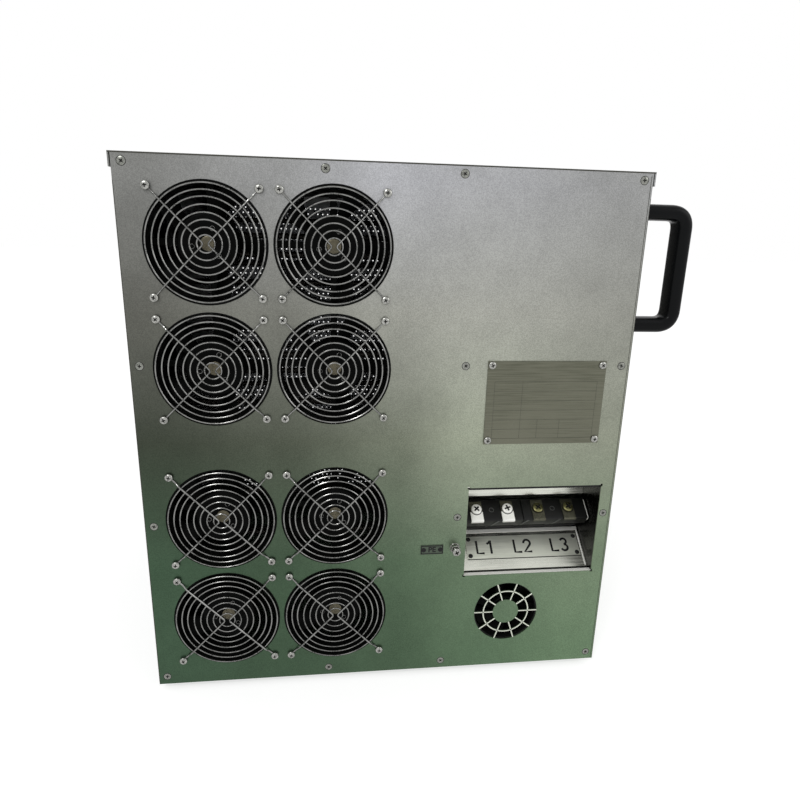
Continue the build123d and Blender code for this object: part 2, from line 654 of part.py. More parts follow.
def selector_base(y):
    """Collar and body of a rotary switch, bored for the knob's spindle."""
    front = SIDE_X + SWITCH_COLLAR_H
    return (rod_x(DEVICE_R, BODY_X, SIDE_X, y, SWITCH_Z)
            + rod_x(SWITCH_COLLAR_R, SIDE_X, front, y, SWITCH_Z)
            - rod_x(SPINDLE_R + SHAFT_FIT, front - SPINDLE_LENGTH - FIT, front, y, SWITCH_Z))


def selector_knob(y):
    """Round skirt with an upright grip bar, on its spindle."""
    seat = SIDE_X + SWITCH_COLLAR_H + FIT
    knob = rod_x(KNOB_R, seat, seat + KNOB_H, y, SWITCH_Z)
    bar = block(seat + KNOB_H, seat + KNOB_H + GRIP_BAR_H, y - GRIP_BAR_W / 2, y + GRIP_BAR_W / 2,
                SWITCH_Z - KNOB_R, SWITCH_Z + KNOB_R)
    bar &= rod_x(KNOB_R, seat, seat + KNOB_H + GRIP_BAR_H, y, SWITCH_Z)
    return knob + bar + rod_x(SPINDLE_R, seat - SPINDLE_LENGTH, seat, y, SWITCH_Z)


STOP_SEAT = SIDE_X + STOP_COLLAR_H


def estop_base():
    """Yellow collar and switch body, bored for the plunger."""
    return (rod_x(DEVICE_R, BODY_X, SIDE_X, STOP_Y, STOP_Z)
            + rod_x(STOP_COLLAR_R, SIDE_X, STOP_SEAT, STOP_Y, STOP_Z)
            - rod_x(STOP_STEM_R + SHAFT_FIT, SIDE_X - 3 * STOP_TRAVEL, STOP_SEAT, STOP_Y, STOP_Z))


def estop_stem():
    """Plunger that slides in the base and turns nothing."""
    neck = STOP_SEAT + STOP_TRAVEL + FIT
    return (rod_x(STOP_STEM_R, SIDE_X - 2 * STOP_TRAVEL + FIT, neck + FIT, STOP_Y, STOP_Z)
            + rod_x(SPINDLE_R, neck + FIT, neck + STOP_NECK_H, STOP_Y, STOP_Z))


def estop_head():
    """Mushroom head, bored for the end of the plunger."""
    neck = STOP_SEAT + STOP_TRAVEL + 2 * FIT + SHAFT_FIT
    cap = neck + STOP_NECK_H
    profile = Polyline((0, neck), (STOP_NECK_R, neck), (STOP_NECK_R, cap), (STOP_HEAD_R, cap),
                       (STOP_HEAD_R, cap + STOP_HEAD_H / 2), (STOP_HEAD_R - 5, cap + STOP_HEAD_H),
                       (0, cap + STOP_HEAD_H), close=True)
    plane = Plane((0, STOP_Y, STOP_Z), x_dir=(0, 1, 0), z_dir=(0, 0, -1))
    head = revolve(plane * make_face(profile), axis=Axis((0, STOP_Y, STOP_Z), (1, 0, 0)))
    return head - rod_x(SPINDLE_R + SHAFT_FIT, neck, neck + STOP_NECK_H, STOP_Y, STOP_Z)


INLET_FACE = SIDE_X + INLET_BEZEL_T
ROCKER_X = INLET_FACE - ROCKER_SUNK
ROCKER_Z = SUPPLY_Z + ROCKER_RISE
ROCKER_REACH = hypot(ROCKER_HALF, ROCKER_FACE) + FIT


def power_inlet():
    """Appliance inlet and switch housing in one moulding, with a socket and a rocker well."""
    inlet = block(SIDE_X, INLET_FACE, MIDDLE_Y - INLET_BEZEL_W / 2, MIDDLE_Y + INLET_BEZEL_W / 2,
                  SUPPLY_Z - INLET_BEZEL_H / 2, SUPPLY_Z + INLET_BEZEL_H / 2)
    inlet += block(SIDE_X - INLET_BODY_DEPTH, SIDE_X, MIDDLE_Y - INLET_BODY_W / 2,
                   MIDDLE_Y + INLET_BODY_W / 2, SUPPLY_Z - INLET_BODY_H / 2,
                   SUPPLY_Z + INLET_BODY_H / 2)
    socket_z = SUPPLY_Z - SOCKET_DROP
    inlet -= block(INLET_FACE - SOCKET_DEPTH, INLET_FACE, MIDDLE_Y - SOCKET_W / 2,
                   MIDDLE_Y + SOCKET_W / 2, socket_z - SOCKET_H / 2, socket_z + SOCKET_H / 2)
    well = ROCKER_W / 2 + FIT
    inlet -= block(ROCKER_X - ROCKER_REACH, INLET_FACE, MIDDLE_Y - well, MIDDLE_Y + well,
                   ROCKER_Z - ROCKER_REACH, ROCKER_Z + ROCKER_REACH)
    pin = well + ROCKER_PIN
    return inlet - rod_y(ROCKER_PIN_R + SHAFT_FIT, MIDDLE_Y - pin, MIDDLE_Y + pin, ROCKER_X, ROCKER_Z)


def power_rocker():
    """Rocker at its off position, with a pivot pin on each side."""
    outline = Polyline((ROCKER_FACE, ROCKER_HALF), (ROCKER_WAIST, 0), (ROCKER_FACE, -ROCKER_HALF),
                       (0, -ROCKER_HALF), (-ROCKER_BACK, 0), (0, ROCKER_HALF), close=True)
    plane = Plane((ROCKER_X, MIDDLE_Y, ROCKER_Z), x_dir=(1, 0, 0), z_dir=(0, -1, 0))
    face = plane * (Rot(0, 0, ROCKER_TILT) * make_face(outline))
    rocker = extrude(face, ROCKER_W / 2, both=True)
    reach = ROCKER_W / 2 + ROCKER_PIN
    return rocker + rod_y(ROCKER_PIN_R, MIDDLE_Y - reach, MIDDLE_Y + reach, ROCKER_X, ROCKER_Z)


# ---- air duct -------------------------------------------------------------------------------------------
RACK_X0 = -INNER_X + RACK_INSET
RACK_X1 = PARTITION_X - RACK_INSET


ELEMENT_Y = [ELEMENT_DEPTH + i * ELEMENT_PITCH for i in range(ELEMENT_COLUMNS)]
ELEMENT_STEP = (CAB_H - 2 * ELEMENT_MARGIN) / (ELEMENT_ROWS - 1)
ELEMENT_Z = [ELEMENT_MARGIN + i * ELEMENT_STEP for i in range(ELEMENT_ROWS)]
ELEMENT_LIFT = [(i - (ELEMENT_COLUMNS - 1) / 2) * ELEMENT_STAGGER * ELEMENT_STEP
                for i in range(ELEMENT_COLUMNS)]


def resistor_tubes():
    """Sheathed resistor elements across the duct, drawn with six flats."""
    return [hex_x(ELEMENT_R, RACK_X0, RACK_X1, y, z + lift)
            for y, lift in zip(ELEMENT_Y, ELEMENT_LIFT) for z in ELEMENT_Z]


def resistor_racks():
    """Two end plates that stand on the tray and carry the elements' ends."""
    y0 = ELEMENT_Y[0] - ELEMENT_PITCH / 2
    y1 = ELEMENT_Y[-1] + ELEMENT_PITCH / 2
    top = ELEMENT_Z[-1] + RACK_OVERHANG
    racks = []
    for x, side in ((RACK_X0, -1), (RACK_X1, 1)):
        ends = sorted((x, x + side * SHEET))
        foot = sorted((x, x + side * FRAME_LEG))
        rack = block(*ends, y0, y1, SHEET, top) + block(*foot, y0, y1, SHEET, 2 * SHEET)
        racks.append(rack)
    return racks


WINDOW_X0 = -INNER_X + OUTLET_MARGIN
WINDOW_X1 = PARTITION_X - OUTLET_MARGIN
WINDOW_Z0 = OUTLET_MARGIN
WINDOW_Z1 = CAB_H - OUTLET_MARGIN


GRILLE_Y = CAB_D - OUTLET_FOLD


def outlet_panel():
    """Rear panel with the edges of its window folded inward."""
    panel = block(-SIDE_X, SIDE_X, INNER_Y1, CAB_D, 0, CAB_H)
    panel += block(WINDOW_X0 - SHEET, WINDOW_X1 + SHEET, GRILLE_Y, INNER_Y1,
                   WINDOW_Z0 - SHEET, WINDOW_Z1 + SHEET)
    return panel - block(WINDOW_X0, WINDOW_X1, GRILLE_Y, CAB_D, WINDOW_Z0, WINDOW_Z1)


def outlet_grille():
    """Slotted sheet on the folded edges of the outlet window."""
    x0 = WINDOW_X0 - GRILLE_EDGE
    x1 = WINDOW_X1 + GRILLE_EDGE
    grille = block(x0, x1, GRILLE_Y - GRILLE_T, GRILLE_Y, WINDOW_Z0 - GRILLE_EDGE / 2,
                   WINDOW_Z1 + GRILLE_EDGE / 2)
    pitch = (WINDOW_Z1 - WINDOW_Z0) / OUTLET_BARS
    for i in range(OUTLET_BARS):
        z = WINDOW_Z0 + (i + 0.5) * pitch
        grille -= block(WINDOW_X0, WINDOW_X1, GRILLE_Y - GRILLE_T, GRILLE_Y,
                        z - pitch / 3, z + pitch / 3)
    return grille


# ---- electrical bay ---------------------------------------------------------------------------------------
BAY_X0 = PARTITION_X + SHEET
BAY_X1 = BODY_X - BAY_PLATE_INSET
BAY_Z0 = BAY_PLATE_FOOT
BAY_Z1 = CAB_H - BAY_PLATE_HEAD


def bay_plate():
    """Mounting plate with a folded edge on the partition."""
    plate = block(BAY_X0, BAY_X1, BAY_PLATE_Y, BAY_PLATE_Y + SHEET, BAY_Z0, BAY_Z1)
    return plate + block(BAY_X0, BAY_X0 + SHEET, BAY_PLATE_Y, BAY_PLATE_Y + FRAME_LEG,
                         BAY_Z0, BAY_Z1)


def contactors():
    x0 = BAY_X0 + BAY_PLATE_INSET
    group = []
    for i in range(CONTACTOR_COUNT):
        z = BAY_Z0 + CONTACTOR_FOOT + i * CONTACTOR_PITCH
        body = block(x0, x0 + CONTACTOR_W, BAY_PLATE_Y - CONTACTOR_DEPTH / 2, BAY_PLATE_Y,
                     z - CONTACTOR_H / 2, z + CONTACTOR_H / 2)
        nose = block(x0, x0 + CONTACTOR_W, BAY_PLATE_Y - CONTACTOR_DEPTH,
                     BAY_PLATE_Y - CONTACTOR_DEPTH / 2, z - CONTACTOR_H / 4, z + CONTACTOR_H / 4)
        group.append(body + nose)
    return group


def control_board():
    """Control board on four pillars."""
    x0 = BAY_X1 - BOARD_W
    y0 = BAY_PLATE_Y - BOARD_STANDOFF
    z1 = CAB_H - BOARD_DROP
    z0 = z1 - BOARD_H
    board = block(x0, BAY_X1, y0 - BOARD_T, y0, z0, z1)
    inset = 2 * BOARD_T
    for x in (x0 + inset, BAY_X1 - inset):
        for z in (z0 + inset, z1 - inset):
            board += block(x - BOARD_T, x + BOARD_T, y0, BAY_PLATE_Y, z - BOARD_T, z + BOARD_T)
    return board


def panel_screws():
    """Countersunk screws of the end panels and side panels, their heads almost flush."""
    corner_x = SIDE_X - SCREW_EDGE
    side_z = (SCREW_LOW, CAB_H - SCREW_HIGH)
    spots = [(x, z) for x in (-corner_x, -SCREW_MIDDLE, SCREW_MIDDLE, corner_x)
             for z in (SCREW_RISE, CAB_H - SCREW_DROP)]
    spots += [(x, z) for x in (-corner_x, PARTITION_X + SCREW_LAP, corner_x) for z in side_z]
    heads = [hex_y(SCREW_HEAD_R, -SCREW_PROUD, 0, x, z) for x, z in spots]
    heads += [hex_y(SCREW_HEAD_R, CAB_D, CAB_D + SCREW_PROUD, x, z) for x, z in spots]
    for y in (SCREW_EDGE, CAB_D - SCREW_EDGE):
        for z in side_z:
            heads.append(hex_x(SCREW_HEAD_R, -SIDE_X - SCREW_PROUD, -SIDE_X, y, z))
            heads.append(hex_x(SCREW_HEAD_R, SIDE_X, SIDE_X + SCREW_PROUD, y, z))
    return heads


# ---- assembly ------------------------------------------------------------------------------------------------
HUB_BACK = HUB_FACE + HUB_LENGTH
FAN_BACK = SHEET + FAN_DEPTH
COOLER_BACK = SHEET + COOLER_DEPTH

add("base_tray", base_tray())
add("inner_frame", inner_frame())
add("partition", partition())
add("feet", *feet())
add("top_cover", top_cover())
add("fan_panel", fan_panel())
add("left_side_panel", block(-SIDE_X, -INNER_X, INNER_Y0, INNER_Y1, 0, CAB_H))
add("control_panel", control_panel())
add("outlet_panel", outlet_panel())
add("outlet_grille", outlet_grille())
add("panel_screws", *panel_screws())

main_frame = fan_frame(FAN_SIDE, FAN_DEPTH, FAN_BORE_R, MOTOR_R, HUB_BACK + MOTOR_GAP,
                       SHAFT_R + SHAFT_FIT)
main_rotor = fan_rotor(HUB_R, FAN_BORE_R - TIP_GAP, HUB_FACE, HUB_LENGTH, FAN_BACK - FIT, BLADE_COUNT)
guard = fan_guard()
add("fan_frames", *[Pos(x, 0, z) * main_frame for x, z in FANS])
for number, (x, z) in enumerate(FANS, start=1):
    add(f"fan_rotor_{number}", Pos(x, 0, z) * main_rotor)
    add(f"fan_guard_{number}", *[Pos(x, 0, z) * wire for wire in guard])

cooler_rotor = fan_rotor(COOLER_HUB_R, COOLER_BORE_R - TIP_GAP, COOLER_HUB_FACE,
                         COOLER_HUB_LENGTH, COOLER_BACK - FIT, BLADE_COUNT)
cooler_frame = fan_frame(COOLER_SIDE, COOLER_DEPTH, COOLER_BORE_R, COOLER_MOTOR_R,
                         COOLER_HUB_FACE + COOLER_HUB_LENGTH + MOTOR_GAP, SHAFT_R + SHAFT_FIT)
add("cooling_fan_frame", Pos(VENT_X, 0, VENT_Z) * cooler_frame)
add("cooling_fan_rotor", Pos(VENT_X, 0, VENT_Z) * cooler_rotor)

fan_screws = [pan_screw(x + dx, z + dz, -STAY, 0) for x, z in FANS
              for dx in (-FAN_SCREW, FAN_SCREW) for dz in (-FAN_SCREW, FAN_SCREW)]
name_screws = [hex_y(PAN_R, -NAME_T - PAN_H, -NAME_T, x, z)
               for x in (NAME_X0 + NAME_SCREW_INSET, NAME_X1 - NAME_SCREW_INSET)
               for z in (NAME_Z0 + NAME_SCREW_INSET, NAME_Z1 - NAME_SCREW_INSET)]
add("pan_head_screws", *fan_screws, *name_screws)

add("terminal_recess", terminal_recess())
add("terminal_block", terminal_block())
add("terminal_lugs", *[terminal_lug(x) for x in POLES])
add("terminal_screws", *[terminal_screw(x) for x in POLES])
PLATE_TOP = PLATE_S + PLATE_H
add("phase_plate", shelf_block(PLATE_X0, PLATE_X1, PLATE_S, PLATE_TOP, 0, PLATE_T))
add("tag_rivets",
    *[shelf_rod(RIVET_R, x, s, PLATE_T, PLATE_T + RIVET_H, 6)
      for x in (PLATE_X0 + RIVET_INSET, PLATE_X1 - RIVET_INSET)
      for s in (PLATE_S + RIVET_INSET, PLATE_TOP - RIVET_INSET)],
    *[hex_y(RIVET_R, -TAG_T - RIVET_H, -TAG_T, x, TAG_Z)
      for x in (TAG_X1 - TAG_W + TAG_INSET, TAG_X1 - TAG_INSET)])
add("earth_stud", pe_stud())
add("earth_tag", block(TAG_X1 - TAG_W, TAG_X1, -TAG_T, 0, TAG_Z - TAG_H / 2, TAG_Z + TAG_H / 2))
add("nameplate", block(NAME_X0, NAME_X1, -NAME_T, 0, NAME_Z0, NAME_Z1))

add("handle_rear", handle(HANDLE_EDGE))
add("handle_front", handle(CAB_D - HANDLE_EDGE))
add("power_meter", power_meter())
add("pilot_lamps", *[pilot_lamp(y) for y in LAMP_Y])
add("selector_bases", *[selector_base(y) for y in SWITCH_Y])
for number, y in enumerate(SWITCH_Y, start=1):
    add(f"selector_knob_{number}", selector_knob(y))
add("estop_base", estop_base())
add("estop_stem", estop_stem())
add("estop_head", estop_head())
add("power_inlet", power_inlet())
add("power_rocker", power_rocker())

add("resistor_tubes", *resistor_tubes())
add("resistor_racks", *resistor_racks())
add("bay_plate", bay_plate())
add("contactors", *contactors())
add("control_board", control_board())

boxes = [shape.bounding_box() for shape in nodes.values()]
middle_x = (min(b.min.X for b in boxes) + max(b.max.X for b in boxes)) / 2
middle_y = (min(b.min.Y for b in boxes) + max(b.max.Y for b in boxes)) / 2
bottom_z = min(b.min.Z for b in boxes)
for name, shape in nodes.items():
    export_step(Pos(-middle_x, -middle_y, -bottom_z) * shape, f"parts/{name}.step")
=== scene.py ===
import math
import random

import bmesh
import bpy
from mathutils import Matrix, Vector


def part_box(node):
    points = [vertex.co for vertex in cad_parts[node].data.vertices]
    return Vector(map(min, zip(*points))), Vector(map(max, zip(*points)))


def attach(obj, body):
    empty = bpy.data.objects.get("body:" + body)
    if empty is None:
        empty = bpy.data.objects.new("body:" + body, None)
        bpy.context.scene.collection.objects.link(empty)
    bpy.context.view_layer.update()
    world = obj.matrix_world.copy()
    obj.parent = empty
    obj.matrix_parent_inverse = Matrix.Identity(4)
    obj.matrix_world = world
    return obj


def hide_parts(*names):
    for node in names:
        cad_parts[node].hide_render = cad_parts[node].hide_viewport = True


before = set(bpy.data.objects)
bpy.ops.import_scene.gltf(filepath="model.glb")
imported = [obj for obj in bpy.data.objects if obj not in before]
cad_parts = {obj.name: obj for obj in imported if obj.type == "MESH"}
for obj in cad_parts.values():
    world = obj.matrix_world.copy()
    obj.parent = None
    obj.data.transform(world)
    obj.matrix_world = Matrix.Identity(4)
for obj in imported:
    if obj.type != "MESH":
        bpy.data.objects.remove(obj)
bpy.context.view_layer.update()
random.seed(11)

# ---- the cabinet's own coordinates: millimetres from the lower middle of the fan panel's outer face ---
panel_low, panel_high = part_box("fan_panel")
ORIGIN = Vector(((panel_low.x + panel_high.x) / 2, panel_low.y, panel_low.z))
CABINET = Matrix.Translation(ORIGIN) @ Matrix.Scale(0.001, 4)
INVERSE = CABINET.inverted()


def span(node):
    """Lowest and highest corner of a CAD node in cabinet millimetres."""
    low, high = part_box(node)
    return INVERSE @ low, INVERSE @ high


def middle(node):
    low, high = span(node)
    return (low + high) / 2


def shift(x, y, z):
    return Matrix.Translation((x, y, z))


def link(made):
    bpy.context.scene.collection.objects.link(made)


def facing(x, y, z, axis, turn=0.0):
    """Frame whose +Z is the axis, at a point, turned about that axis."""
    aim = Vector(axis).to_track_quat("Z", "Y").to_matrix().to_4x4()
    return shift(x, y, z) @ aim @ Matrix.Rotation(turn, 4, "Z")


def box_points(x0, x1, y0, y1, z):
    """Corners of a rectangle at one height."""
    return [(x0, y0, z), (x1, y0, z), (x1, y1, z), (x0, y1, z)]


# ---- materials ---
def new_material(name):
    made = bpy.data.materials.new(name)
    made.use_nodes = True
    tree = made.node_tree
    return made, tree, tree.nodes["Principled BSDF"]


def object_noise(tree, scale, detail=3.0, stretch=(1, 1, 1), rough=0.55):
    where = tree.nodes.new("ShaderNodeTexCoord")
    mapping = tree.nodes.new("ShaderNodeMapping")
    mapping.inputs["Scale"].default_value = stretch
    tree.links.new(where.outputs["Object"], mapping.inputs["Vector"])
    noise = tree.nodes.new("ShaderNodeTexNoise")
    noise.inputs["Scale"].default_value = scale
    noise.inputs["Detail"].default_value = detail
    noise.inputs["Roughness"].default_value = rough
    tree.links.new(mapping.outputs["Vector"], noise.inputs["Vector"])
    return noise.outputs["Fac"]


def remap(tree, value, low, high, new_low, new_high):
    node = tree.nodes.new("ShaderNodeMapRange")
    node.interpolation_type = "SMOOTHSTEP"
    for key, number in (("From Min", low), ("From Max", high), ("To Min", new_low), ("To Max", new_high)):
        node.inputs[key].default_value = number
    tree.links.new(value, node.inputs["Value"])
    return node.outputs["Result"]


def blend_colours(tree, factor, first, second):
    node = tree.nodes.new("ShaderNodeMix")
    node.data_type = "RGBA"
    tree.links.new(factor, node.inputs[0])
    for socket, colour in ((node.inputs[6], first), (node.inputs[7], second)):
        if isinstance(colour, tuple):
            socket.default_value = (*colour, 1)
        else:
            tree.links.new(colour, socket)
    return node.outputs[2]


def add_bump(tree, shader, height, strength, depth, below=None):
    bump = tree.nodes.new("ShaderNodeBump")
    bump.inputs["Strength"].default_value = strength
    bump.inputs["Distance"].default_value = depth
    tree.links.new(height, bump.inputs["Height"])
    if below:
        tree.links.new(below, bump.inputs["Normal"])
    tree.links.new(bump.outputs["Normal"], shader.inputs["Normal"])
    return bump.outputs["Normal"]


def finish(name, light, dark, rough, spread=0.05, metal=0.0, grain=1500.0, stretch=(1, 1, 1),
           bump=0.2, depth=0.00008, cloud=14.0, coat=0.0, specular=0.5):
    """Fine grain over slow changes of tone and gloss."""
    made, tree, shader = new_material(name)
    slow = object_noise(tree, cloud, 4.0)
    fine = object_noise(tree, grain, 3.0, stretch)
    tone = remap(tree, slow, 0.3, 0.7, 0.0, 1.0)
    body = blend_colours(tree, tone, dark, light)
    speck = remap(tree, fine, 0.35, 0.65, 0.0, 1.0)
    mixed = blend_colours(tree, speck, body, light)
    tree.links.new(mixed, shader.inputs["Base Color"])
    tree.links.new(remap(tree, fine, 0.3, 0.7, rough - spread, rough + spread), shader.inputs["Roughness"])
    shader.inputs["Metallic"].default_value = metal
    shader.inputs["Coat Weight"].default_value = coat
    shader.inputs["Specular IOR Level"].default_value = specular
    add_bump(tree, shader, fine, bump, depth)
    return made


def ramp(tree, value, stops):
    node = tree.nodes.new("ShaderNodeValToRGB")
    bar = node.color_ramp
    while len(bar.elements) < len(stops):
        bar.elements.new(0.5)
    for element, (place, colour) in zip(bar.elements, stops):
        element.position = place
        element.color = (*colour, 1)
    tree.links.new(value, node.inputs["Fac"])
    return node.outputs["Color"]


# Painted reflections in the satin sheet's base colour, in metres from the lower middle of the fan panel: a
# painted green reflection of the floor below, and above it a painted bright streak that leans left as it
# rises and fades to both sides.
TONE_COLUMNS = (-0.250, -0.122, 0.0, 0.1, 0.250)
TONE_HEIGHTS = (0.02, 0.15, 0.30, 0.44, 0.57)
TONE_TOP = 0.6             # height that the ramps reach up to
GREEN_ENDS = (0.12, 0.30)  # heights between which the green gives way to the streak
GREEN_LEFT, GREEN_GAIN, GREEN_SPREAD = 0.09, 0.125, 0.36
GREEN_EDGE, GREEN_LEAN = -0.071, 0.45
STREAK_X, STREAK_LEAN = 0.2075, 0.35
STREAK_BASE, STREAK_RISE, SHADE = 0.241, 0.33, 0.03
FADE_RIGHT, FADE_LEFT, FADE_GROWTH = 0.55, -0.055, 0.60
RED_SHARE, RED_LEAN, RED_FULL, RED_TOP = 0.60, 0.20, 0.99, 0.40
BLUE_SHARE, BLUE_GAIN, BLUE_TOP = 0.59, 0.30, 0.50
SKY_BLUE, SKY_ENDS = 0.16, (0.40, 0.57)
TINT_START, TINT_LEAN = 0.08, 0.30


def soft(value, start, end):
    share = min(max((value - start) / (end - start), 0.0), 1.0)
    return share * share * (3 - 2 * share)


def painted_reflection_tone(x, height):
    """Painted reflection colour of the sheet at a place on the panel."""
    edge = GREEN_EDGE - GREEN_LEAN * height
    below = GREEN_LEFT + GREEN_GAIN * soft(x, edge, edge + GREEN_SPREAD)
    streak = STREAK_X - STREAK_LEAN * height
    peak = STREAK_BASE + STREAK_RISE * height
    fade = FADE_RIGHT if x > streak else max(FADE_LEFT + FADE_GROWTH * height, 0.01)
    near = math.exp(-abs(x - streak) / fade)
    above = SHADE + (peak - SHADE) * near
    green = below + (above - below) * soft(height, *GREEN_ENDS)
    start = TINT_START - TINT_LEAN * x
    share = RED_SHARE + RED_LEAN * x
    red = share + (RED_FULL - share) * soft(height, start, RED_TOP)
    blue = BLUE_SHARE + BLUE_GAIN * soft(height, start, BLUE_TOP) + SKY_BLUE * near * soft(height, *SKY_ENDS)
    return green * red, green, green * blue


def cabinet_finish():
    """Satin blasted stainless sheet with painted reflections in its base colour: bright in its upper middle
    and green towards the floor.
    """
    made, tree, shader = new_material("satin_stainless_painted_reflections")
    where = tree.nodes.new("ShaderNodeTexCoord")
    parts = tree.nodes.new("ShaderNodeSeparateXYZ")
    tree.links.new(where.outputs["Object"], parts.inputs[0])
    up = tree.nodes.new("ShaderNodeMapRange")
    up.inputs["From Min"].default_value = ORIGIN.z
    up.inputs["From Max"].default_value = ORIGIN.z + TONE_TOP
    tree.links.new(parts.outputs["Z"], up.inputs["Value"])
    body = None
    for x in TONE_COLUMNS:
        column = ramp(tree, up.outputs["Result"], [(z / TONE_TOP, painted_reflection_tone(x, z)) for z in TONE_HEIGHTS])
        if body is None:
            body = column
        else:
            across = remap(tree, parts.outputs["X"], ORIGIN.x + before, ORIGIN.x + x, 0.0, 1.0)
            body = blend_colours(tree, across, body, column)
        before = x
    slow = remap(tree, object_noise(tree, 22.0, 6.0, rough=0.65), 0.3, 0.7, 0.93, 1.06)
    fine = object_noise(tree, 1100.0, 4.0)
    speck = remap(tree, fine, 0.3, 0.7, 0.82, 1.18)
    both = tree.nodes.new("ShaderNodeMath")
    both.operation = "MULTIPLY"
    tree.links.new(slow, both.inputs[0])
    tree.links.new(speck, both.inputs[1])
    scale = tree.nodes.new("ShaderNodeVectorMath")
    scale.operation = "SCALE"
    tree.links.new(body, scale.inputs[0])
    tree.links.new(both.outputs[0], scale.inputs["Scale"])
    tree.links.new(scale.outputs[0], shader.inputs["Base Color"])
    gloss = remap(tree, object_noise(tree, 30.0, 5.0), 0.3, 0.7, 0.36, 0.46)
    tree.links.new(gloss, shader.inputs["Roughness"])
    shader.inputs["Metallic"].default_value = 0.85
    first = add_bump(tree, shader, fine, 0.25, 0.00005)
    add_bump(tree, shader, object_noise(tree, 5.0, 1.0), 0.12, 0.0012, first)
    return made


def recess_finish(wall_x):
    """Bright folded sheet whose right wall is painted near-black as the shade inside the cabinet."""
    made = finish("bright_sheet", (0.68, 0.69, 0.62), (0.50, 0.51, 0.455), 0.27, 0.05, 0.95, 700,
                  stretch=(0.03, 1, 1), bump=0.25, depth=0.00004)
    tree = made.node_tree
    shader = tree.nodes["Principled BSDF"]
    body = shader.inputs["Base Color"].links[0].from_socket
    where = tree.nodes.new("ShaderNodeTexCoord")
    parts = tree.nodes.new("ShaderNodeSeparateXYZ")
    tree.links.new(where.outputs["Object"], parts.inputs[0])
    wall = remap(tree, parts.outputs["X"], wall_x - 0.0004, wall_x - 0.0001, 0.0, 1.0)
    # near-black on the right wall: painted shade
    tree.links.new(blend_colours(tree, wall, body, (0.016, 0.016, 0.012)), shader.inputs["Base Color"])
    return made


STEEL = cabinet_finish()
CUT_RIGHT = span("terminal_recess")[1].x - 1.5
ZINC = finish("zinc_plate", (0.30, 0.31, 0.32), (0.22, 0.23, 0.24), 0.38, 0.08, 0.9, 300, bump=0.1)
DUCT = finish("dark_duct_sheet", (0.060, 0.060, 0.058), (0.035, 0.035, 0.034), 0.50, 0.08, 0.6, 300,
    bump=0.1)
BRIGHT = recess_finish(ORIGIN.x + CUT_RIGHT / 1000)
# Cloudy light and near-black patches along the wires and rings: painted reflections.
CHROME = finish("guard_chrome", (0.26, 0.26, 0.25), (0.030, 0.031, 0.029), 0.22, 0.05, 1.0, 900,
    bump=0.05, cloud=75.0)
# Near-white with little metal: the whiteness of the terminal screws, lugs and folds is partly the plating's
# colour, partly a painted highlight.
NICKEL = finish("white_nickel_painted_highlight", (0.95, 0.95, 0.90), (0.84, 0.84, 0.79), 0.34, 0.05, 0.15, 900, bump=0.1,
    specular=0.9)
# Fine cloudy patches of light and near-black on the screw heads and pins: painted reflections.
HEADS = finish("nickel_painted_reflection_patches", (0.40, 0.40, 0.375), (0.015, 0.016, 0.014), 0.24, 0.06, 1.0, 2600,
    bump=0.15, cloud=430.0)
SCREW_RIM = finish("screw_rim", (0.27, 0.275, 0.25), (0.05, 0.052, 0.046), 0.30, 0.06, 1.0, 1500,
    cloud=420.0)
# Near-black faces in the screws' cross recesses, and thin rings round the countersunk heads: painted shade.
RECESS_SHADE = finish("screw_recess_painted_shade", (0.010, 0.010, 0.009), (0.004, 0.004, 0.004), 0.65, 0.06, 0.0, 1500,
    specular=0.15)
BRASS = finish("dull_brass", (0.215, 0.205, 0.095), (0.135, 0.128, 0.060), 0.32, 0.06, 1.0, 1200)
BROWN_LUG = finish("tarnished_lug", (0.110, 0.108, 0.078), (0.045, 0.045, 0.034), 0.40, 0.06, 0.9, 700,
    cloud=120.0)
BRONZE_DISC = finish("bronze_disc", (0.135, 0.122, 0.085), (0.060, 0.054, 0.038), 0.36, 0.06, 0.9, 900,
    cloud=90.0)
TAG = finish("tag_metal", (0.68, 0.70, 0.61), (0.56, 0.58, 0.50), 0.36, 0.05, 0.8, 900,
    stretch=(0.04, 1, 1), depth=0.00004)
PLATE = finish("bronze_plate", (0.142, 0.143, 0.108), (0.092, 0.094, 0.068), 0.33, 0.07, 0.85, 1300,
    stretch=(0.02, 1, 1), bump=0.25, depth=0.00004, cloud=9.0)
FRAME_BLACK = finish("black_casting", (0.004, 0.0045, 0.004), (0.002, 0.002, 0.002), 0.55, 0.08, 0.0, 900,
    bump=0.4, depth=0.0001, specular=0.07)
ROTOR_BLACK = finish("rotor_black", (0.0018, 0.002, 0.0018), (0.001, 0.001, 0.001), 0.55, 0.06, 0.0, 1100,
    specular=0.05)
HANDLE_BLACK = finish("handle_black", (0.0035, 0.004, 0.0045), (0.002, 0.0022, 0.0025), 0.26, 0.05, 0.0,
    2200, bump=0.3, depth=0.00006, specular=0.09)
MOULDED = finish("moulded_black", (0.008, 0.0085, 0.008), (0.004, 0.004, 0.004), 0.38, 0.08, 0.0, 1800,
    bump=0.3, specular=0.22)
RUBBER = finish("foot_rubber", (0.030, 0.030, 0.030), (0.018, 0.018, 0.018), 0.75, 0.08, 0.0, 1600,
    bump=0.5, depth=0.0001)
GREY = finish("contactor_grey", (0.36, 0.37, 0.37), (0.29, 0.30, 0.30), 0.50, 0.05, 0.0, 1500)
LENS = finish("green_lens", (0.10, 0.52, 0.16), (0.07, 0.42, 0.12), 0.12, 0.03, 0.0, 500, bump=0.05,
    coat=0.6)
COLLAR = finish("satin_collar", (0.58, 0.58, 0.57), (0.46, 0.46, 0.45), 0.24, 0.05, 1.0, 1500, bump=0.15)
YELLOW = finish("stop_yellow", (0.78, 0.55, 0.03), (0.70, 0.48, 0.02), 0.32, 0.05, 0.0, 1300)
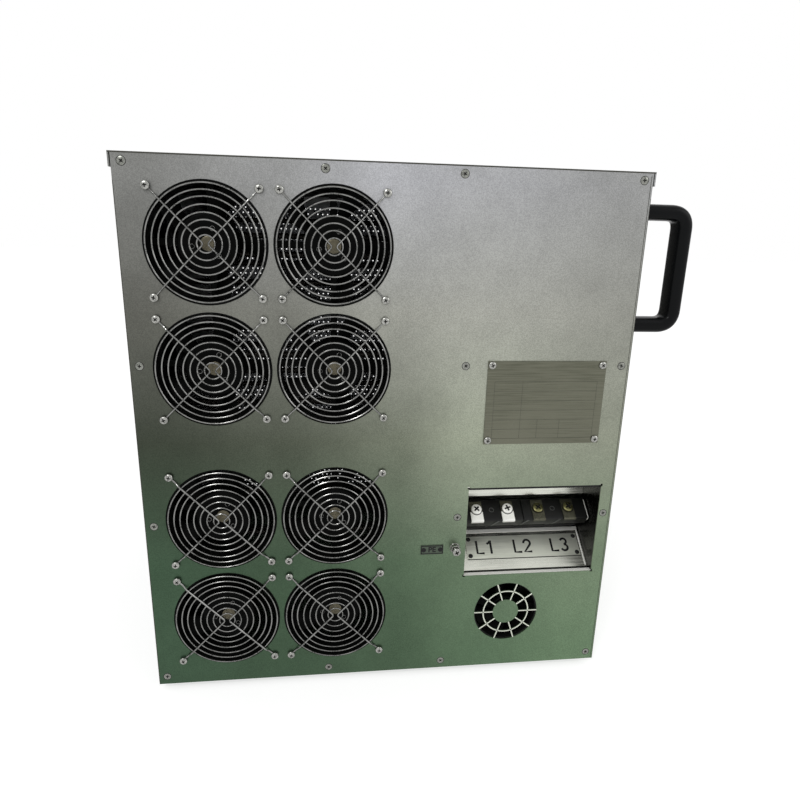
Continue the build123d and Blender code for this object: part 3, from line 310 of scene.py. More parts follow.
RED = finish("stop_red", (0.56, 0.02, 0.02), (0.46, 0.015, 0.015), 0.26, 0.05, 0.0, 1300, coat=0.2)
# Grey for the rings round the block's moulded holes and for slanted strips on its front.
GREY_RING = finish("grey_ring_mark", (0.060, 0.064, 0.060), (0.030, 0.032, 0.030), 0.45, 0.08, 0.0, 900)
SHEATH = finish("heat_tinted_sheath", (0.075, 0.068, 0.060), (0.035, 0.032, 0.028), 0.42, 0.08, 0.6, 300)
BOARD = finish("board_green", (0.04, 0.22, 0.10), (0.03, 0.17, 0.08), 0.40, 0.06, 0.0, 250)
WHITE_MARK = finish("white_mark", (0.80, 0.80, 0.78), (0.72, 0.72, 0.70), 0.5, 0.05, 0.0, 1500)
BLACK_MARK = finish("black_mark", (0.010, 0.010, 0.010), (0.005, 0.005, 0.005), 0.5, 0.05, 0.0, 1500,
    specular=0.2)
TAG_DARK = finish("dark_tag", (0.075, 0.095, 0.070), (0.045, 0.060, 0.043), 0.40, 0.06, 0.7, 900,
    stretch=(0.04, 1, 1), depth=0.00004)
# Etched lines of the nameplate's table, and near-black strips of painted shade along the panel's edges.
ETCHED_AND_SHADE = finish("etched_and_painted_shade_line", (0.040, 0.040, 0.030), (0.026, 0.026, 0.019), 0.5, 0.05, 0.3, 1500)
SCREEN = finish("dark_screen", (0.030, 0.036, 0.034), (0.022, 0.027, 0.025), 0.10, 0.02, 0.0, 40,
    bump=0.02, coat=0.8)


# ---- mesh tools ---
def circle(radius, count):
    """Points (x, y) spaced evenly round the origin."""
    return [(radius * math.cos(math.tau * i / count), radius * math.sin(math.tau * i / count))
            for i in range(count)]


class Piece:
    """A visible piece, drawn in millimetres in its current frame."""

    def __init__(self, name, *materials):
        self.name = name
        self.materials = materials
        self.mesh = bmesh.new()
        self.frame = CABINET.copy()

    def at(self, *steps):
        self.frame = CABINET.copy()
        for step in steps:
            self.frame = self.frame @ step
        return self

    def point(self, place):
        return self.mesh.verts.new(self.frame @ Vector(place))

    def face(self, corners, material=0):
        made = self.mesh.faces.new(corners)
        made.material_index = material
        return made

    def loops(self, rings, material=0, closed=False, capped=True):
        """Skin over rings of points. A ring of one point closes to a tip."""
        rows = [[self.point(p) for p in ring] for ring in rings]
        pairs = list(zip(rows, rows[1:]))
        if closed:
            pairs.append((rows[-1], rows[0]))
        for first, second in pairs:
            count = max(len(first), len(second))
            for i in range(count):
                j = (i + 1) % count
                if len(first) == 1:
                    self.face((first[0], second[j], second[i]), material)
                elif len(second) == 1:
                    self.face((first[i], first[j], second[0]), material)
                else:
                    self.face((first[i], first[j], second[j], second[i]), material)
        if capped and not closed:
            for row in (rows[0], rows[-1]):
                if len(row) > 2:
                    self.face(row, material)

    def lathe(self, profile, count=32, material=0, closed=False):
        """Turn (radius, height) points about the frame's +Z."""
        rings = []
        for radius, height in profile:
            if radius < 1e-6:
                rings.append([(0, 0, height)])
                continue
            rings.append([(x, y, height) for x, y in circle(radius, count)])
        self.loops(rings, material, closed)

    def hoop(self, radius, wire, height, count=64, sides=10, material=0):
        """Round wire bent into a circle about the frame's +Z."""
        self.lathe([(radius + x, height + y) for x, y in circle(wire, sides)], count, material, closed=True)

    def sweep(self, path, section, side, material=0, closed=False):
        """Carry a flat section along a path. The section's first axis stays near the given side."""
        path = [Vector(p) for p in path]
        side = Vector(side)
        rings = []
        for i, here in enumerate(path):
            before = path[i - 1] if i or closed else here
            after = path[(i + 1) % len(path)] if i + 1 < len(path) or closed else here
            along = (after - before).normalized()
            flat = (side - along * side.dot(along)).normalized()
            lift = along.cross(flat)
            rings.append([here + flat * a + lift * b for a, b in section])
        self.loops(rings, material, closed)

    def wire(self, path, radius, side=(0, 1, 0), sides=10, material=0, closed=False):
        self.sweep(path, circle(radius, sides), side, material, closed)

    def prism(self, outline, depth, material=0):
        """Push a flat outline of (x, y) along the frame's +Z."""
        self.loops([[(x, y, 0) for x, y in outline], [(x, y, depth) for x, y in outline]], material)

    def block(self, low, high, edge=0.0, steps=2, material=0):
        """Box between two corners, with rounded edges."""
        part = bmesh.new()
        bmesh.ops.create_cube(part, size=1.0)
        size = Vector(high) - Vector(low)
        centre = (Vector(high) + Vector(low)) / 2
        for vert in part.verts:
            vert.co = Vector((vert.co.x * size.x, vert.co.y * size.y, vert.co.z * size.z)) + centre
        if edge:
            bmesh.ops.bevel(part, geom=part.edges[:], offset=edge, segments=steps, profile=0.5,
                            affect="EDGES", clamp_overlap=True)
        self.take(part, material)
        part.free()

    def take(self, part, material=None):
        """Copy another mesh into this piece, in the current frame."""
        twin = {vert.index: self.point(vert.co) for vert in indexed(part)}
        for other in part.faces:
            index = other.material_index if material is None else material
            self.face([twin[vert.index] for vert in other.verts], index)

    def done(self, body, slot, *stands_for, angle=32.0):
        bmesh.ops.recalc_face_normals(self.mesh, faces=self.mesh.faces[:])
        data = bpy.data.meshes.new(self.name)
        self.mesh.to_mesh(data)
        self.mesh.free()
        for material in self.materials:
            data.materials.append(material)
        for polygon in data.polygons:
            polygon.use_smooth = True
        data.set_sharp_from_angle(angle=math.radians(angle))
        made = bpy.data.objects.new(self.name, data)
        link(made)
        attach(made, body)
        if stands_for:
            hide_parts(*stands_for)
        return made


def indexed(part):
    part.verts.index_update()
    return part.verts


def rounded(path, radius, steps=6):
    """Path with its inner corners turned on a curve."""
    path = [Vector(p) for p in path]
    made = [path[0]]
    for before, here, after in zip(path, path[1:], path[2:]):
        near = here + (before - here).normalized() * min(radius, (before - here).length * 0.49)
        far = here + (after - here).normalized() * min(radius, (after - here).length * 0.49)
        for i in range(steps + 1):
            t = i / steps
            made.append(near * (1 - t) ** 2 + here * 2 * t * (1 - t) + far * t ** 2)
    made.append(path[-1])
    return made


def arc(centre_radius, start, end, steps):
    """Points (x, y) on an arc, from its centre and radius and two angles in degrees."""
    cx, cy, radius = centre_radius
    angles = [math.radians(start + (end - start) * i / steps) for i in range(steps + 1)]
    return [(cx + radius * math.cos(a), cy + radius * math.sin(a)) for a in angles]


def cross_head(profile, arm, width, depth, top, count=40):
    """Screw head turned from a profile, with a tapered cross recess cut into its top, whose faces take the
    near-black second material as painted shade.
    """
    head = Piece("head")
    head.frame = Matrix.Identity(4)
    head.lathe(profile, count)
    solid = bpy.data.meshes.new("head")
    bmesh.ops.recalc_face_normals(head.mesh, faces=head.mesh.faces[:])
    head.mesh.to_mesh(solid)
    solid.materials.append(HEADS)
    solid.materials.append(RECESS_SHADE)
    body = bpy.data.objects.new("head", solid)
    link(body)
    for turned in (0, 1):
        cutter = Piece("cutter")
        cutter.frame = Matrix.Rotation(math.pi / 2 * turned, 4, "Z")
        low, high = top - depth, top + 1.0
        grow = 1 + 1.0 / max(depth, 0.5) * 0.3
        cutter.loops([box_points(-arm * 0.55, arm * 0.55, -width * 0.4, width * 0.4, low),
                      box_points(-arm * grow, arm * grow, -width * 0.62, width * 0.62, high)], 1)
        bmesh.ops.recalc_face_normals(cutter.mesh, faces=cutter.mesh.faces[:])
        shape = bpy.data.meshes.new("cutter")
        cutter.mesh.to_mesh(shape)
        shape.materials.append(HEADS)
        shape.materials.append(RECESS_SHADE)
        tool = bpy.data.objects.new("cutter", shape)
        link(tool)
        change = body.modifiers.new("cut", "BOOLEAN")
        change.object = tool
        change.operation = "DIFFERENCE"
        change.solver = "EXACT"
        bpy.context.view_layer.update()
        result = bpy.data.meshes.new_from_object(body.evaluated_get(bpy.context.evaluated_depsgraph_get()))
        body.modifiers.clear()
        body.data = result
        bpy.data.objects.remove(tool)
    made = bmesh.new()
    made.from_mesh(body.data)
    bpy.data.objects.remove(body)
    return made


def dome(radius, height, shoulder, steps=7):
    """Profile of a pan head: straight side, then a curve to a crown."""
    points = [(radius * 0.94, 0.0), (radius, 0.25), (radius, shoulder)]
    for i in range(1, steps + 1):
        t = math.pi / 2 * i / steps
        points.append((radius * math.cos(t), shoulder + (height - shoulder) * math.sin(t)))
    points[-1] = (0.0, height)
    return [(0.0, 0.0)] + points


PAN = cross_head(dome(4.3, 2.6, 0.9), 2.3, 1.05, 1.3, 2.6)
PE_HEAD = cross_head(dome(4.9, 3.0, 1.2), 3.1, 1.5, 1.5, 3.0)
TERMINAL_HEAD = cross_head(dome(6.3, 3.4, 2.3), 4.4, 2.0, 1.6, 3.4, 48)
COUNTERSUNK = cross_head([(0.0, 0.0), (3.92, 0.0), (4.0, 0.08), (3.8, 0.2), (0.0, 0.2)], 2.7, 1.35, 0.16, 0.2)

OUT = (0, -1, 0)      # out of the fan panel
RIGHT = (1, 0, 0)     # out of the control panel
UP = (0, 0, 1)

# ---- CAD nodes that keep their shape ---
CAD_FINISH = {
    "base_tray": STEEL, "inner_frame": DUCT, "partition": DUCT, "top_cover": STEEL, "fan_panel": STEEL,
    "left_side_panel": STEEL, "control_panel": STEEL, "outlet_panel": STEEL, "fan_frames": FRAME_BLACK,
    "cooling_fan_frame": MOULDED, "terminal_recess": BRIGHT, "phase_plate": TAG, "earth_tag": TAG_DARK,
    "nameplate": PLATE, "power_inlet": MOULDED, "resistor_racks": DUCT, "bay_plate": ZINC,
    "contactors": GREY, "control_board": BOARD, "power_rocker": RED, "estop_stem": COLLAR}
for node, material in CAD_FINISH.items():
    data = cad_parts[node].data
    for i in range(max(1, len(data.materials))):
        if i < len(data.materials):
            data.materials[i] = material
        else:
            data.materials.append(material)

# ---- fans and guards ---
FAN_HOLES = 52.4            # half of the screw square
RINGS = (8.5, 15.6, 22.7, 29.6, 36.8, 44.1, 50.4, 56.7)
RING_WIRE, STAY_WIRE = 0.75, 0.9
RING_LIFT, STAY_LIFT = 2.25, 3.85   # centres of the rings and of the stays, off the panel
EYE_R, EYE_LIFT = 2.9, 0.95
STAY_SPACE = 1.8            # middle of the guard to a stay
STAY_REACH = 59.75          # where a stay comes to its full height, from the middle
STAY_SLOPE = 5.0            # length of the rise to it


def guard(number):
    centre = middle(f"fan_guard_{number}")
    place = shift(centre.x, 0, centre.z)
    piece = Piece(f"wire_guard_{number}", CHROME)
    piece.at(place, facing(0, 0, 0, OUT))
    for radius in RINGS:
        piece.hoop(radius, RING_WIRE, RING_LIFT, 72 if radius > 30 else 48)
    piece.at(place)
    reach = math.hypot(FAN_HOLES, FAN_HOLES)
    for side in (-1, 1):
        path = []
        for rise in (1, -1):
            eye = Vector((side * FAN_HOLES, 0, rise * FAN_HOLES))
            along = (Vector((side * STAY_SPACE, 0, 0)) - eye).normalized()
            step = reach - STAY_REACH - STAY_SLOPE
            leg = [eye + along * EYE_R + Vector((0, -EYE_LIFT, 0)),
                   eye + along * step + Vector((0, -EYE_LIFT, 0)),
                   eye + along * (step + STAY_SLOPE) + Vector((0, -STAY_LIFT, 0))]
            path += leg if rise == 1 else leg[::-1]
            if rise == 1:
                path.append(Vector((side * STAY_SPACE, -STAY_LIFT, 0)))
        piece.wire(rounded(path, 3.0), STAY_WIRE)
        for rise in (1, -1):
            piece.at(place, facing(side * FAN_HOLES, 0, rise * FAN_HOLES, OUT))
            piece.hoop(EYE_R, STAY_WIRE - 0.05, EYE_LIFT, 28)
            piece.at(place)
    piece.done("cabinet", "guard_chrome", f"fan_guard_{number}")


def rotor(name, body, node, centre, hub, tip, face, length, count, nose):
    """Cup-shaped hub with twisted, swept blades. The nose carries the badge and three chrome rings that stand
    for glints on moulded pips, as painted highlights.
    """
    piece = Piece(name, ROTOR_BLACK, BRONZE_DISC, CHROME)
    # the frame's +Z runs inward, along the cabinet's +Y
    inward = Matrix(((1, 0, 0, 0), (0, 0, 1, 0), (0, -1, 0, 0), (0, 0, 0, 1)))
    keep = CABINET @ shift(centre.x, face, centre.z) @ inward
    piece.frame = keep
    round_edge = [(hub - 2.5 + 2.5 * math.sin(math.radians(a)), 2.5 - nose - 2.5 * math.cos(math.radians(a)))
                  for a in (0, 22.5, 45, 67.5, 90)]
    piece.lathe([(0, 0.35 - nose), (7.5, 0.35 - nose), (8.2, -nose)] + round_edge
                + [(hub, length - 0.5), (hub - 0.6, length), (0, length)], 56)
    if nose:
        badge = [(0, -0.15), (6.6, -0.15), (7.2, 0.1), (7.2, 0.5), (0, 0.5)]
        piece.lathe([(radius, height - nose) for radius, height in badge], 36, 1)
        # chrome rings round three points on the nose: painted highlights of moulded pips
        for i in range(3):
            angle = math.radians(-71 - 120 * i)
            piece.frame = keep @ shift(15.5 * math.cos(angle), 15.5 * math.sin(angle), 0)
            piece.hoop(2.3, 0.3, -nose, 20, 6, 2)
        piece.frame = keep
    stations = 7
    samples = 10
    for blade in range(count):
        rings = []
        for k in range(stations + 1):
            t = k / stations
            radius = hub - 0.8 + (tip - hub + 0.8) * t
            pitch = math.radians(50 - 24 * t)
            tall = (length - 1.2) / 2 * (0.80 + 0.20 * math.sin(math.pi * min(1.0, 0.25 + 0.75 * t)))
            lean = math.radians(10 * t * t)
            ring = []
            for surface in (1, -1):
                for i in range(samples + 1):
                    u = -1 + 2 * i / samples if surface == 1 else 1 - 2 * i / samples
                    if surface == -1 and i in (0, samples):
                        continue
                    thick = (1.3 - 0.5 * t) * math.sqrt(max(0.0, 1 - u * u)) * surface
                    turn = u * tall / math.tan(pitch) + 1.6 * (1 - u * u) + thick * 0.5
                    angle = turn / radius + lean + math.tau * blade / count
                    axial = min(max(length / 2 + u * tall + thick * 0.35, 0.4), length - 0.4)
                    ring.append((radius * math.cos(angle), radius * math.sin(angle), axial))
            rings.append(ring)
        piece.loops(rings)
    piece.done(body, "black_plastic", node, angle=40)


for number in range(1, 9):
    guard(number)
    rotor(f"axial_rotor_{number}", f"fan_{number}", f"fan_rotor_{number}", middle(f"fan_guard_{number}"),
          30.0, 56.3, 18.0, 15.0, 5, 9.0)
rotor("small_rotor", "cooling_fan", "cooling_fan_rotor", middle("cooling_fan_frame"),
      17.0, 36.2, 5.0, 14.0, 7, 0.0)

# ---- screws ---
name_low, name_high = span("nameplate")
NAME_SCREW = 4.6       # nameplate screws from its edges
pans = Piece("dome_screws", HEADS, RECESS_SHADE)
for number in range(1, 9):
    centre = middle(f"fan_guard_{number}")
    for dx in (-FAN_HOLES, FAN_HOLES):
        for dz in (-FAN_HOLES, FAN_HOLES):
            pans.at(facing(centre.x + dx, -1.8, centre.z + dz, OUT, random.random() * 3))
            pans.take(PAN)
for x in (name_low.x + NAME_SCREW, name_high.x - NAME_SCREW):
    for z in (name_low.z + NAME_SCREW, name_high.z - NAME_SCREW):
        pans.at(facing(x, -1.0, z, OUT, random.random() * 3))
        pans.take(PAN)
pans.done("cabinet", "bright_steel", "pan_head_screws")

panel_end = span("fan_panel")[1]
side, tall = panel_end.x, panel_end.z
back_y = span("outlet_panel")[1].y
partition_x = span("partition")[0].x
SCREW_EDGE = 9.5       # panel screws from the panel's side edges
SCREW_LEVELS = (204.0, tall - 202.0)
flush = Piece("flush_screws", SCREW_RIM, RECESS_SHADE)


def flush_screw(x, y, z, axis):
    flush.at(facing(x, y, z, axis, random.random() * 3))
    flush.take(COUNTERSUNK)
    # thin near-black ring round the head: painted shade in the countersink gap
    flush.lathe([(3.9, 0.0), (4.55, 0.0), (4.55, 0.05), (3.9, 0.05)], 32, 1, closed=True)


spots = [(x, z) for x in (-side + SCREW_EDGE, -68.7, 68.7, side - SCREW_EDGE) for z in (10.0, tall - 7.0)]
spots += [(x, z) for x in (-side + SCREW_EDGE, partition_x + 10.2, side - SCREW_EDGE) for z in SCREW_LEVELS]
for x, z in spots:
    flush_screw(x, 0, z, OUT)
    flush_screw(x, back_y, z, (0, 1, 0))
for y in (SCREW_EDGE, back_y - SCREW_EDGE):
    for z in SCREW_LEVELS:
        flush_screw(-side, y, z, (-1, 0, 0))
        flush_screw(side, y, z, RIGHT)
flush.done("cabinet", "bright_steel", "panel_screws")

# ---- terminal recess ---
SLOPE = math.radians(37.0)
recess_low = span("terminal_recess")[0]
block_low, block_high = span("terminal_block")
plate_low, plate_high = span("phase_plate")
shelf_z = 127.0
SHELF = shift(0, 11.0, shelf_z) @ Matrix.Rotation(SLOPE, 4, "X")     # x, up the shelf, off the shelf
ACROSS = Matrix(((0, 0, 1, 0), (1, 0, 0, 0), (0, 1, 0, 0), (0, 0, 0, 1)))    # x up the shelf, y off it
PITCH = 38.4
poles = [block_low.x + PITCH / 2 - 1.25 + i * PITCH for i in range(4)]

s0, s1, deck = 43.5, 71.5, 44.5       # front and rear of the moulding up the shelf, and its height
foot = s0 + 10.0
terminals = Piece("barrier_block", MOULDED, GREY_RING, NICKEL)
terminals.at(SHELF)
for first, last, x0, x1 in ((0, 1, block_low.x, poles[1] + PITCH / 2 - 0.25),
                            (2, 3, poles[1] + PITCH / 2 + 0.25, block_high.x)):
    terminals.block((x0, foot, 0), (x1, s1, 8), 1.0)
    terminals.block((x0, s0 + 14, 7), (x1, s1, deck - 1), 0.8)
    terminals.block((x0, s0, deck - 15), (x1, s1, deck), 1.2, 3)
    for pole in (first, last):
        web = poles[pole] + PITCH / 2 - (1.5 if pole == 1 else 0)
        terminals.at(SHELF, shift(web - 1.25, 0, 0), ACROSS)
        terminals.prism([(foot, 7.5), (s1 - 1, 7.5), (s1 - 1, deck - 14.5), (s0 + 0.6, deck - 14.5)], 2.5)
        terminals.at(SHELF)
        if pole < 3:
            # slanted grey strip from the web's lower front end up towards the deck
            terminals.loops([box_points(web - 1.3, web + 1.3, s0 - 0.1, s0 + 0.5, deck - 14.6),
                             box_points(web + 5.7, web + 8.3, s0 - 0.9, s0 + 0.5, deck - 1.4)], 1)
    hole = (poles[first] + poles[last]) / 2
    terminals.at(SHELF, facing(hole, (s0 + s1) / 2, deck, UP))
    terminals.hoop(2.7, 0.4, 0.0, 28, 8, 1)
    terminals.at(SHELF)
# Thin bright bars along the moulding's right top edge and down its front: painted highlight.
terminals.block((block_high.x - 0.7, s0 + 0.5, deck - 0.3), (block_high.x, s1 - 3, deck + 0.2), 0.2, 1, 2)
terminals.block((block_high.x - 0.7, s0 - 0.4, deck - 6.0), (block_high.x, s0 + 0.4, deck), 0.2, 1, 2)
terminals.done("cabinet", "black_plastic", "terminal_block")

lugs = Piece("folded_lugs", NICKEL, BROWN_LUG, BLACK_MARK)
centre_s = (s0 + s1) / 2
for i, x in enumerate(poles):
    tail = [(s1 - 3.0, deck), (s1 - 3.0, deck + 1.6), (s0 + 11.0, deck + 1.6), (s0 + 11.0, deck)]
    nose = [(s0 + 11.0, deck), (s0 + 11.0, deck + 1.6)] + arc((s0, deck, 1.6), 90, 180, 6)
    nose += [(s0 - 1.6, deck - 2.5), (s0, deck - 2.5), (s0, deck)]
    lugs.at(SHELF)
    lugs.loops([[(x + dx, s, n) for s, n in tail] for dx in (-7.5, 7.5)], 1)
    lugs.loops([[(x + dx, s, n) for s, n in nose] for dx in (-7.5, 7.5)], i // 2)
    # near-black ring round the foot of each terminal screw: painted shadow
    lugs.at(SHELF, shift(x, centre_s, deck + 1.6))
    lugs.lathe([(5.9, 0.0), (7.1, 0.0), (7.1, 0.25), (5.9, 0.25)], 40, 2, closed=True)
lugs.done("cabinet", "nickel", "terminal_lugs")

clamp = Piece("terminal_heads", NICKEL, RECESS_SHADE, BRASS)
for i, x in enumerate(poles):
    clamp.at(SHELF, facing(x, centre_s, deck + 1.6, UP, (0.75, 0.3, 0.8, 0.5)[i]))
    if i == 2:
        for face in TERMINAL_HEAD.faces:
            face.material_index = 2 if face.material_index == 0 else face.material_index
    clamp.take(TERMINAL_HEAD)
clamp.done("cabinet", "nickel", "terminal_screws")

# Bright strips on the folds and near-black strips at edges and gaps: painted highlights and painted shade.
trim = Piece("recess_painted_highlights_and_shade", NICKEL, BLACK_MARK)
trim.at(SHELF)
# bright strips on the shelf and along its right edge: painted highlights
trim.block((plate_low.x - 1.0, 48.0, 0.0), (CUT_RIGHT - 3.0, 53.0, 0.5), 0.2, 1)
trim.block((CUT_RIGHT - 3.0, 1.0, 0.0), (CUT_RIGHT - 1.2, 53.0, 0.5), 0.2, 1)
plate_s0, plate_s1 = 13.9, 43.5
# thin near-black border round the phase plate: painted shadow at its edges
for low_s, high_s in ((plate_s0 - 0.7, plate_s0), (plate_s1, plate_s1 + 0.7)):
    trim.block((plate_low.x, low_s, 0.0), (plate_high.x, high_s, 0.4), 0, 1, 1)
trim.block((plate_high.x, plate_s0 - 0.7, 0.0), (plate_high.x + 0.7, plate_s1 + 0.7, 0.4), 0, 1, 1)
trim.at()
cut_left = recess_low.x + 6.5
# bright strip on the folded lip at the foot of the cut-out: painted highlight
trim.block((cut_left, 0.4, shelf_z), (CUT_RIGHT, 6.3, shelf_z + 0.25), 0.1, 1)
# near-black strip under the cut-out's top edge: painted shade standing for the dark gap there
trim.block((cut_left, 1.6, shelf_z + 113.0 - 3.0), (CUT_RIGHT, 2.3, shelf_z + 113.0), 0, 1, 1)
trim.done("cabinet", "bright_steel")

rivets = Piece("dome_rivets", BLACK_MARK)
RIVET = [(0, 0), (2.8, 0.0), (2.8, 0.2)]
RIVET += [(2.8 * math.cos(math.radians(a)), 0.2 + 1.0 * math.sin(math.radians(a))) for a in (20, 40, 60, 75)]
RIVET += [(0, 1.2)]
for x in (plate_low.x + 4, plate_high.x - 4):
    for s in (17.9, 39.5):
        rivets.at(SHELF, facing(x, s, 1.0, UP))
        rivets.lathe(RIVET, 24)
tag_low, tag_high = span("earth_tag")
tag_z = (tag_low.z + tag_high.z) / 2
TAG_Y = -0.8           # outer face of the tag
for x in (tag_low.x + 3.5, tag_high.x - 3.5):
    rivets.at(facing(x, TAG_Y, tag_z, OUT))
    rivets.lathe(RIVET, 24)
rivets.done("cabinet", "black_plastic", "tag_rivets")


def word(name, text, place, cap_height, weight, depth=0.06):
    """Raised lettering whose middle is the frame's origin, read along +X with +Z towards the reader."""
    curve = bpy.data.curves.new(name, "FONT")
    curve.body = text
    curve.align_x = "CENTER"
    curve.align_y = "CENTER"
    curve.size = cap_height / 0.70
    curve.extrude = depth / 2
    curve.offset = weight
    draft = bpy.data.objects.new(name, curve)
    link(draft)
    bpy.context.view_layer.update()
    data = bpy.data.meshes.new_from_object(draft.evaluated_get(bpy.context.evaluated_depsgraph_get()))
    bpy.data.objects.remove(draft)
    data.transform(CABINET @ place @ shift(0, 0, depth / 2))
    data.materials.clear()
    data.materials.append(BLACK_MARK)
    made = bpy.data.objects.new(name, data)
    link(made)
    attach(made, "cabinet")


def character(kind):
    """Stroke of one character, one unit high, from its lower left corner."""
    if kind == "L":
        return [(0.06, 1.0), (0.06, 0.05), (0.56, 0.05)]
    if kind == "1":
        return [(0.10, 0.74), (0.26, 0.82), (0.38, 1.0), (0.38, 0.0)]
    if kind == "2":
        return [(0.07, 0.70)] + arc((0.31, 0.71, 0.24), 165, -35, 9) + [(0.07, 0.05), (0.60, 0.05)]
    upper = arc((0.30, 0.735, 0.215), 160, -80, 9)
    return upper + arc((0.30, 0.275, 0.235), 80, -160, 10)


plate_middle = (plate_low.x + plate_high.x) / 2
TALL = 17.5
for i in range(3):
    mark = Piece(f"phase_mark_{i + 1}", BLACK_MARK)
    for kind, start in (("L", -0.68), (f"{i + 1}", 0.02)):
        mark.at(SHELF, shift(plate_middle + (i - 1) * 48.0 + start * TALL, 28.7 - TALL / 2, 1.04))
        mark.sweep([(x * TALL, y * TALL, 0) for x, y in character(kind)],
                   [(-0.04, -1.4), (0.04, -1.4), (0.04, 1.4), (-0.04, 1.4)], (0, 0, 1))
    mark.done("cabinet", "black_plastic")

# ---- earth stud and tag ---
stud_low, stud_high = span("earth_stud")
stud = Piece("earth_terminal", HEADS, RECESS_SHADE)
stud_x = (stud_low.x + stud_high.x) / 2
stud_z = (stud_low.z + stud_high.z) / 2
hexagon = 5.0 / math.cos(math.radians(30))


def hex_nut(piece, height):
    rings = []
    for inset, lift in ((0.5, 0.0), (0.0, 0.5), (0.0, height - 0.5), (0.5, height)):
        rings.append([((hexagon - inset) * math.cos(math.radians(60 * i + 12)),
                       (hexagon - inset) * math.sin(math.radians(60 * i + 12)), lift) for i in range(6)])
    piece.loops(rings)


stud.at(facing(stud_x, 0, stud_z, OUT))
stud.lathe([(0, 0), (5.8, 0), (6.0, 0.2), (6.0, 1.0), (5.8, 1.2), (0, 1.2)], 40)
stud.at(facing(stud_x, -1.2, stud_z, OUT))
hex_nut(stud, 5.0)
stud.at(facing(stud_x, 0, stud_z, OUT))
thread = [(0, 6.0)]
for i in range(5):
    thread += [(2.95, 6.0 + i * 0.8), (2.6, 6.4 + i * 0.8)]
thread += [(2.95, 10.0), (0, 10.0)]
stud.lathe(thread, 28)
stud.at(facing(stud_x, -10.0, stud_z, OUT, 0.5))
stud.take(PE_HEAD)
stud.at(facing(stud_x, 3.0, stud_z, (0, 1, 0)))
hex_nut(stud, 5.0)
stud.done("cabinet", "bright_steel", "earth_stud")

word("earth_mark", "PE", facing((tag_low.x + tag_high.x) / 2, TAG_Y, tag_z, OUT), 6.4, 0.28)
border = Piece("earth_tag_border", BLACK_MARK)


def strip(piece, x0, x1, z0, z1, y, lift=0.05, material=0):
    piece.at()
    piece.block((x0, y - lift, z0), (x1, y, z1), 0, 1, material)


line, inset = 1.1, 0.4
strip(border, tag_low.x + inset, tag_high.x - inset, tag_high.z - inset - line, tag_high.z - inset, TAG_Y)
strip(border, tag_low.x + inset, tag_high.x - inset, tag_low.z + inset, tag_low.z + inset + line, TAG_Y)
strip(border, tag_low.x + inset, tag_low.x + inset + line, tag_low.z + 1.0, tag_high.z - 1.0, TAG_Y)
strip(border, tag_high.x - inset - line, tag_high.x - inset, tag_low.z + 1.0, tag_high.z - 1.0, TAG_Y)
border.done("cabinet", "black_plastic")

# ---- nameplate: an empty table ---
table = Piece("nameplate_table", ETCHED_AND_SHADE)
wide, deep = name_high.x - name_low.x, name_high.z - name_low.z
left, right = name_low.x + 0.065 * wide, name_high.x - 0.065 * wide
for level in (0.76, 0.645, 0.53, 0.415, 0.30, 0.185, 0.07):
    z = name_low.z + level * deep
    strip(table, left, right, z - 0.16, z + 0.16, -1.0, 0.03)
for part, bottom, top in ((0.0, 0.07, 0.76), (0.27, 0.07, 0.76), (1.0, 0.07, 0.76), (0.44, 0.185, 0.30),
                          (0.66, 0.185, 0.30), (0.44, 0.07, 0.185), (0.66, 0.07, 0.185)):
    x = left + part * (right - left)
    strip(table, x - 0.16, x + 0.16, name_low.z + bottom * deep, name_low.z + top * deep, -1.0, 0.03)
table.done("cabinet", "black_plastic")

# ---- painted shade along the panel's edges, and the bright vent bars ---
edge_shade = Piece("panel_edge_shade", ETCHED_AND_SHADE)
lid_low, lid_high = span("top_cover")
# near-black strips on the lid's front edge and beside the panel's side edges: painted shade in the gaps
strip(edge_shade, lid_low.x + 0.2, lid_high.x - 0.2, lid_high.z - 1.5, lid_high.z - 0.2, lid_low.y)
strip(edge_shade, -side + 0.1, -side + 0.8, 0.5, lid_high.z - 26.0, 0.0)
strip(edge_shade, side - 2.5, side - 1.9, 0.5, lid_high.z - 4.0, 0.0)
strip(edge_shade, side - 0.6, side - 0.1, 0.5, lid_high.z - 26.0, 0.0)
edge_shade.done("cabinet", "black_plastic")
VENT_SPOKES, VENT_HUB, VENT_RING, VENT_RIM = 10, 16.0, 28.0, 39.3
BAR_HALF, BAR_LIFT = 0.7, 0.25
bars = Piece("vent_bars", TAG)
vent = middle("cooling_fan_frame")
for i in range(VENT_SPOKES):
    bars.at(shift(vent.x, 0, vent.z), Matrix.Rotation(math.radians(360 / VENT_SPOKES * i), 4, "Y"))
    bars.block((VENT_HUB, -BAR_LIFT, -BAR_HALF), (VENT_RIM, 0.0, BAR_HALF), 0.1, 1)
bars.at(shift(vent.x, 0, vent.z), facing(0, 0, 0, OUT))
bars.lathe([(VENT_RING - BAR_HALF, 0.0), (VENT_RING + BAR_HALF, 0.0), (VENT_RING + BAR_HALF, BAR_LIFT),
            (VENT_RING - BAR_HALF, BAR_LIFT)], 64, 0, closed=True)
bars.done("cabinet", "bright_steel")

# ---- handles ---
GRIP_HALF = 8.5
for name in ("handle_rear", "handle_front"):
    low_h, high_h = span(name)
    y = (low_h.y + high_h.y) / 2
    reach = high_h.x - GRIP_HALF
    base, crown = low_h.z + GRIP_HALF, high_h.z - GRIP_HALF
    grip = Piece(f"oval_{name}", HANDLE_BLACK)
    path = rounded([(side, y, base), (reach, y, base), (reach, y, crown), (side, y, crown)], 17.0, 14)
    section = []
    for i in range(32):
        a = math.tau * i / 32
        c, s = math.cos(a), math.sin(a)
        section.append((13.0 * math.copysign(abs(c) ** 0.62, c),
                        GRIP_HALF * math.copysign(abs(s) ** 0.75, s)))
    grip.sweep(path, section, (0, 1, 0))
    grip.done("cabinet", "black_handle", name, angle=50)

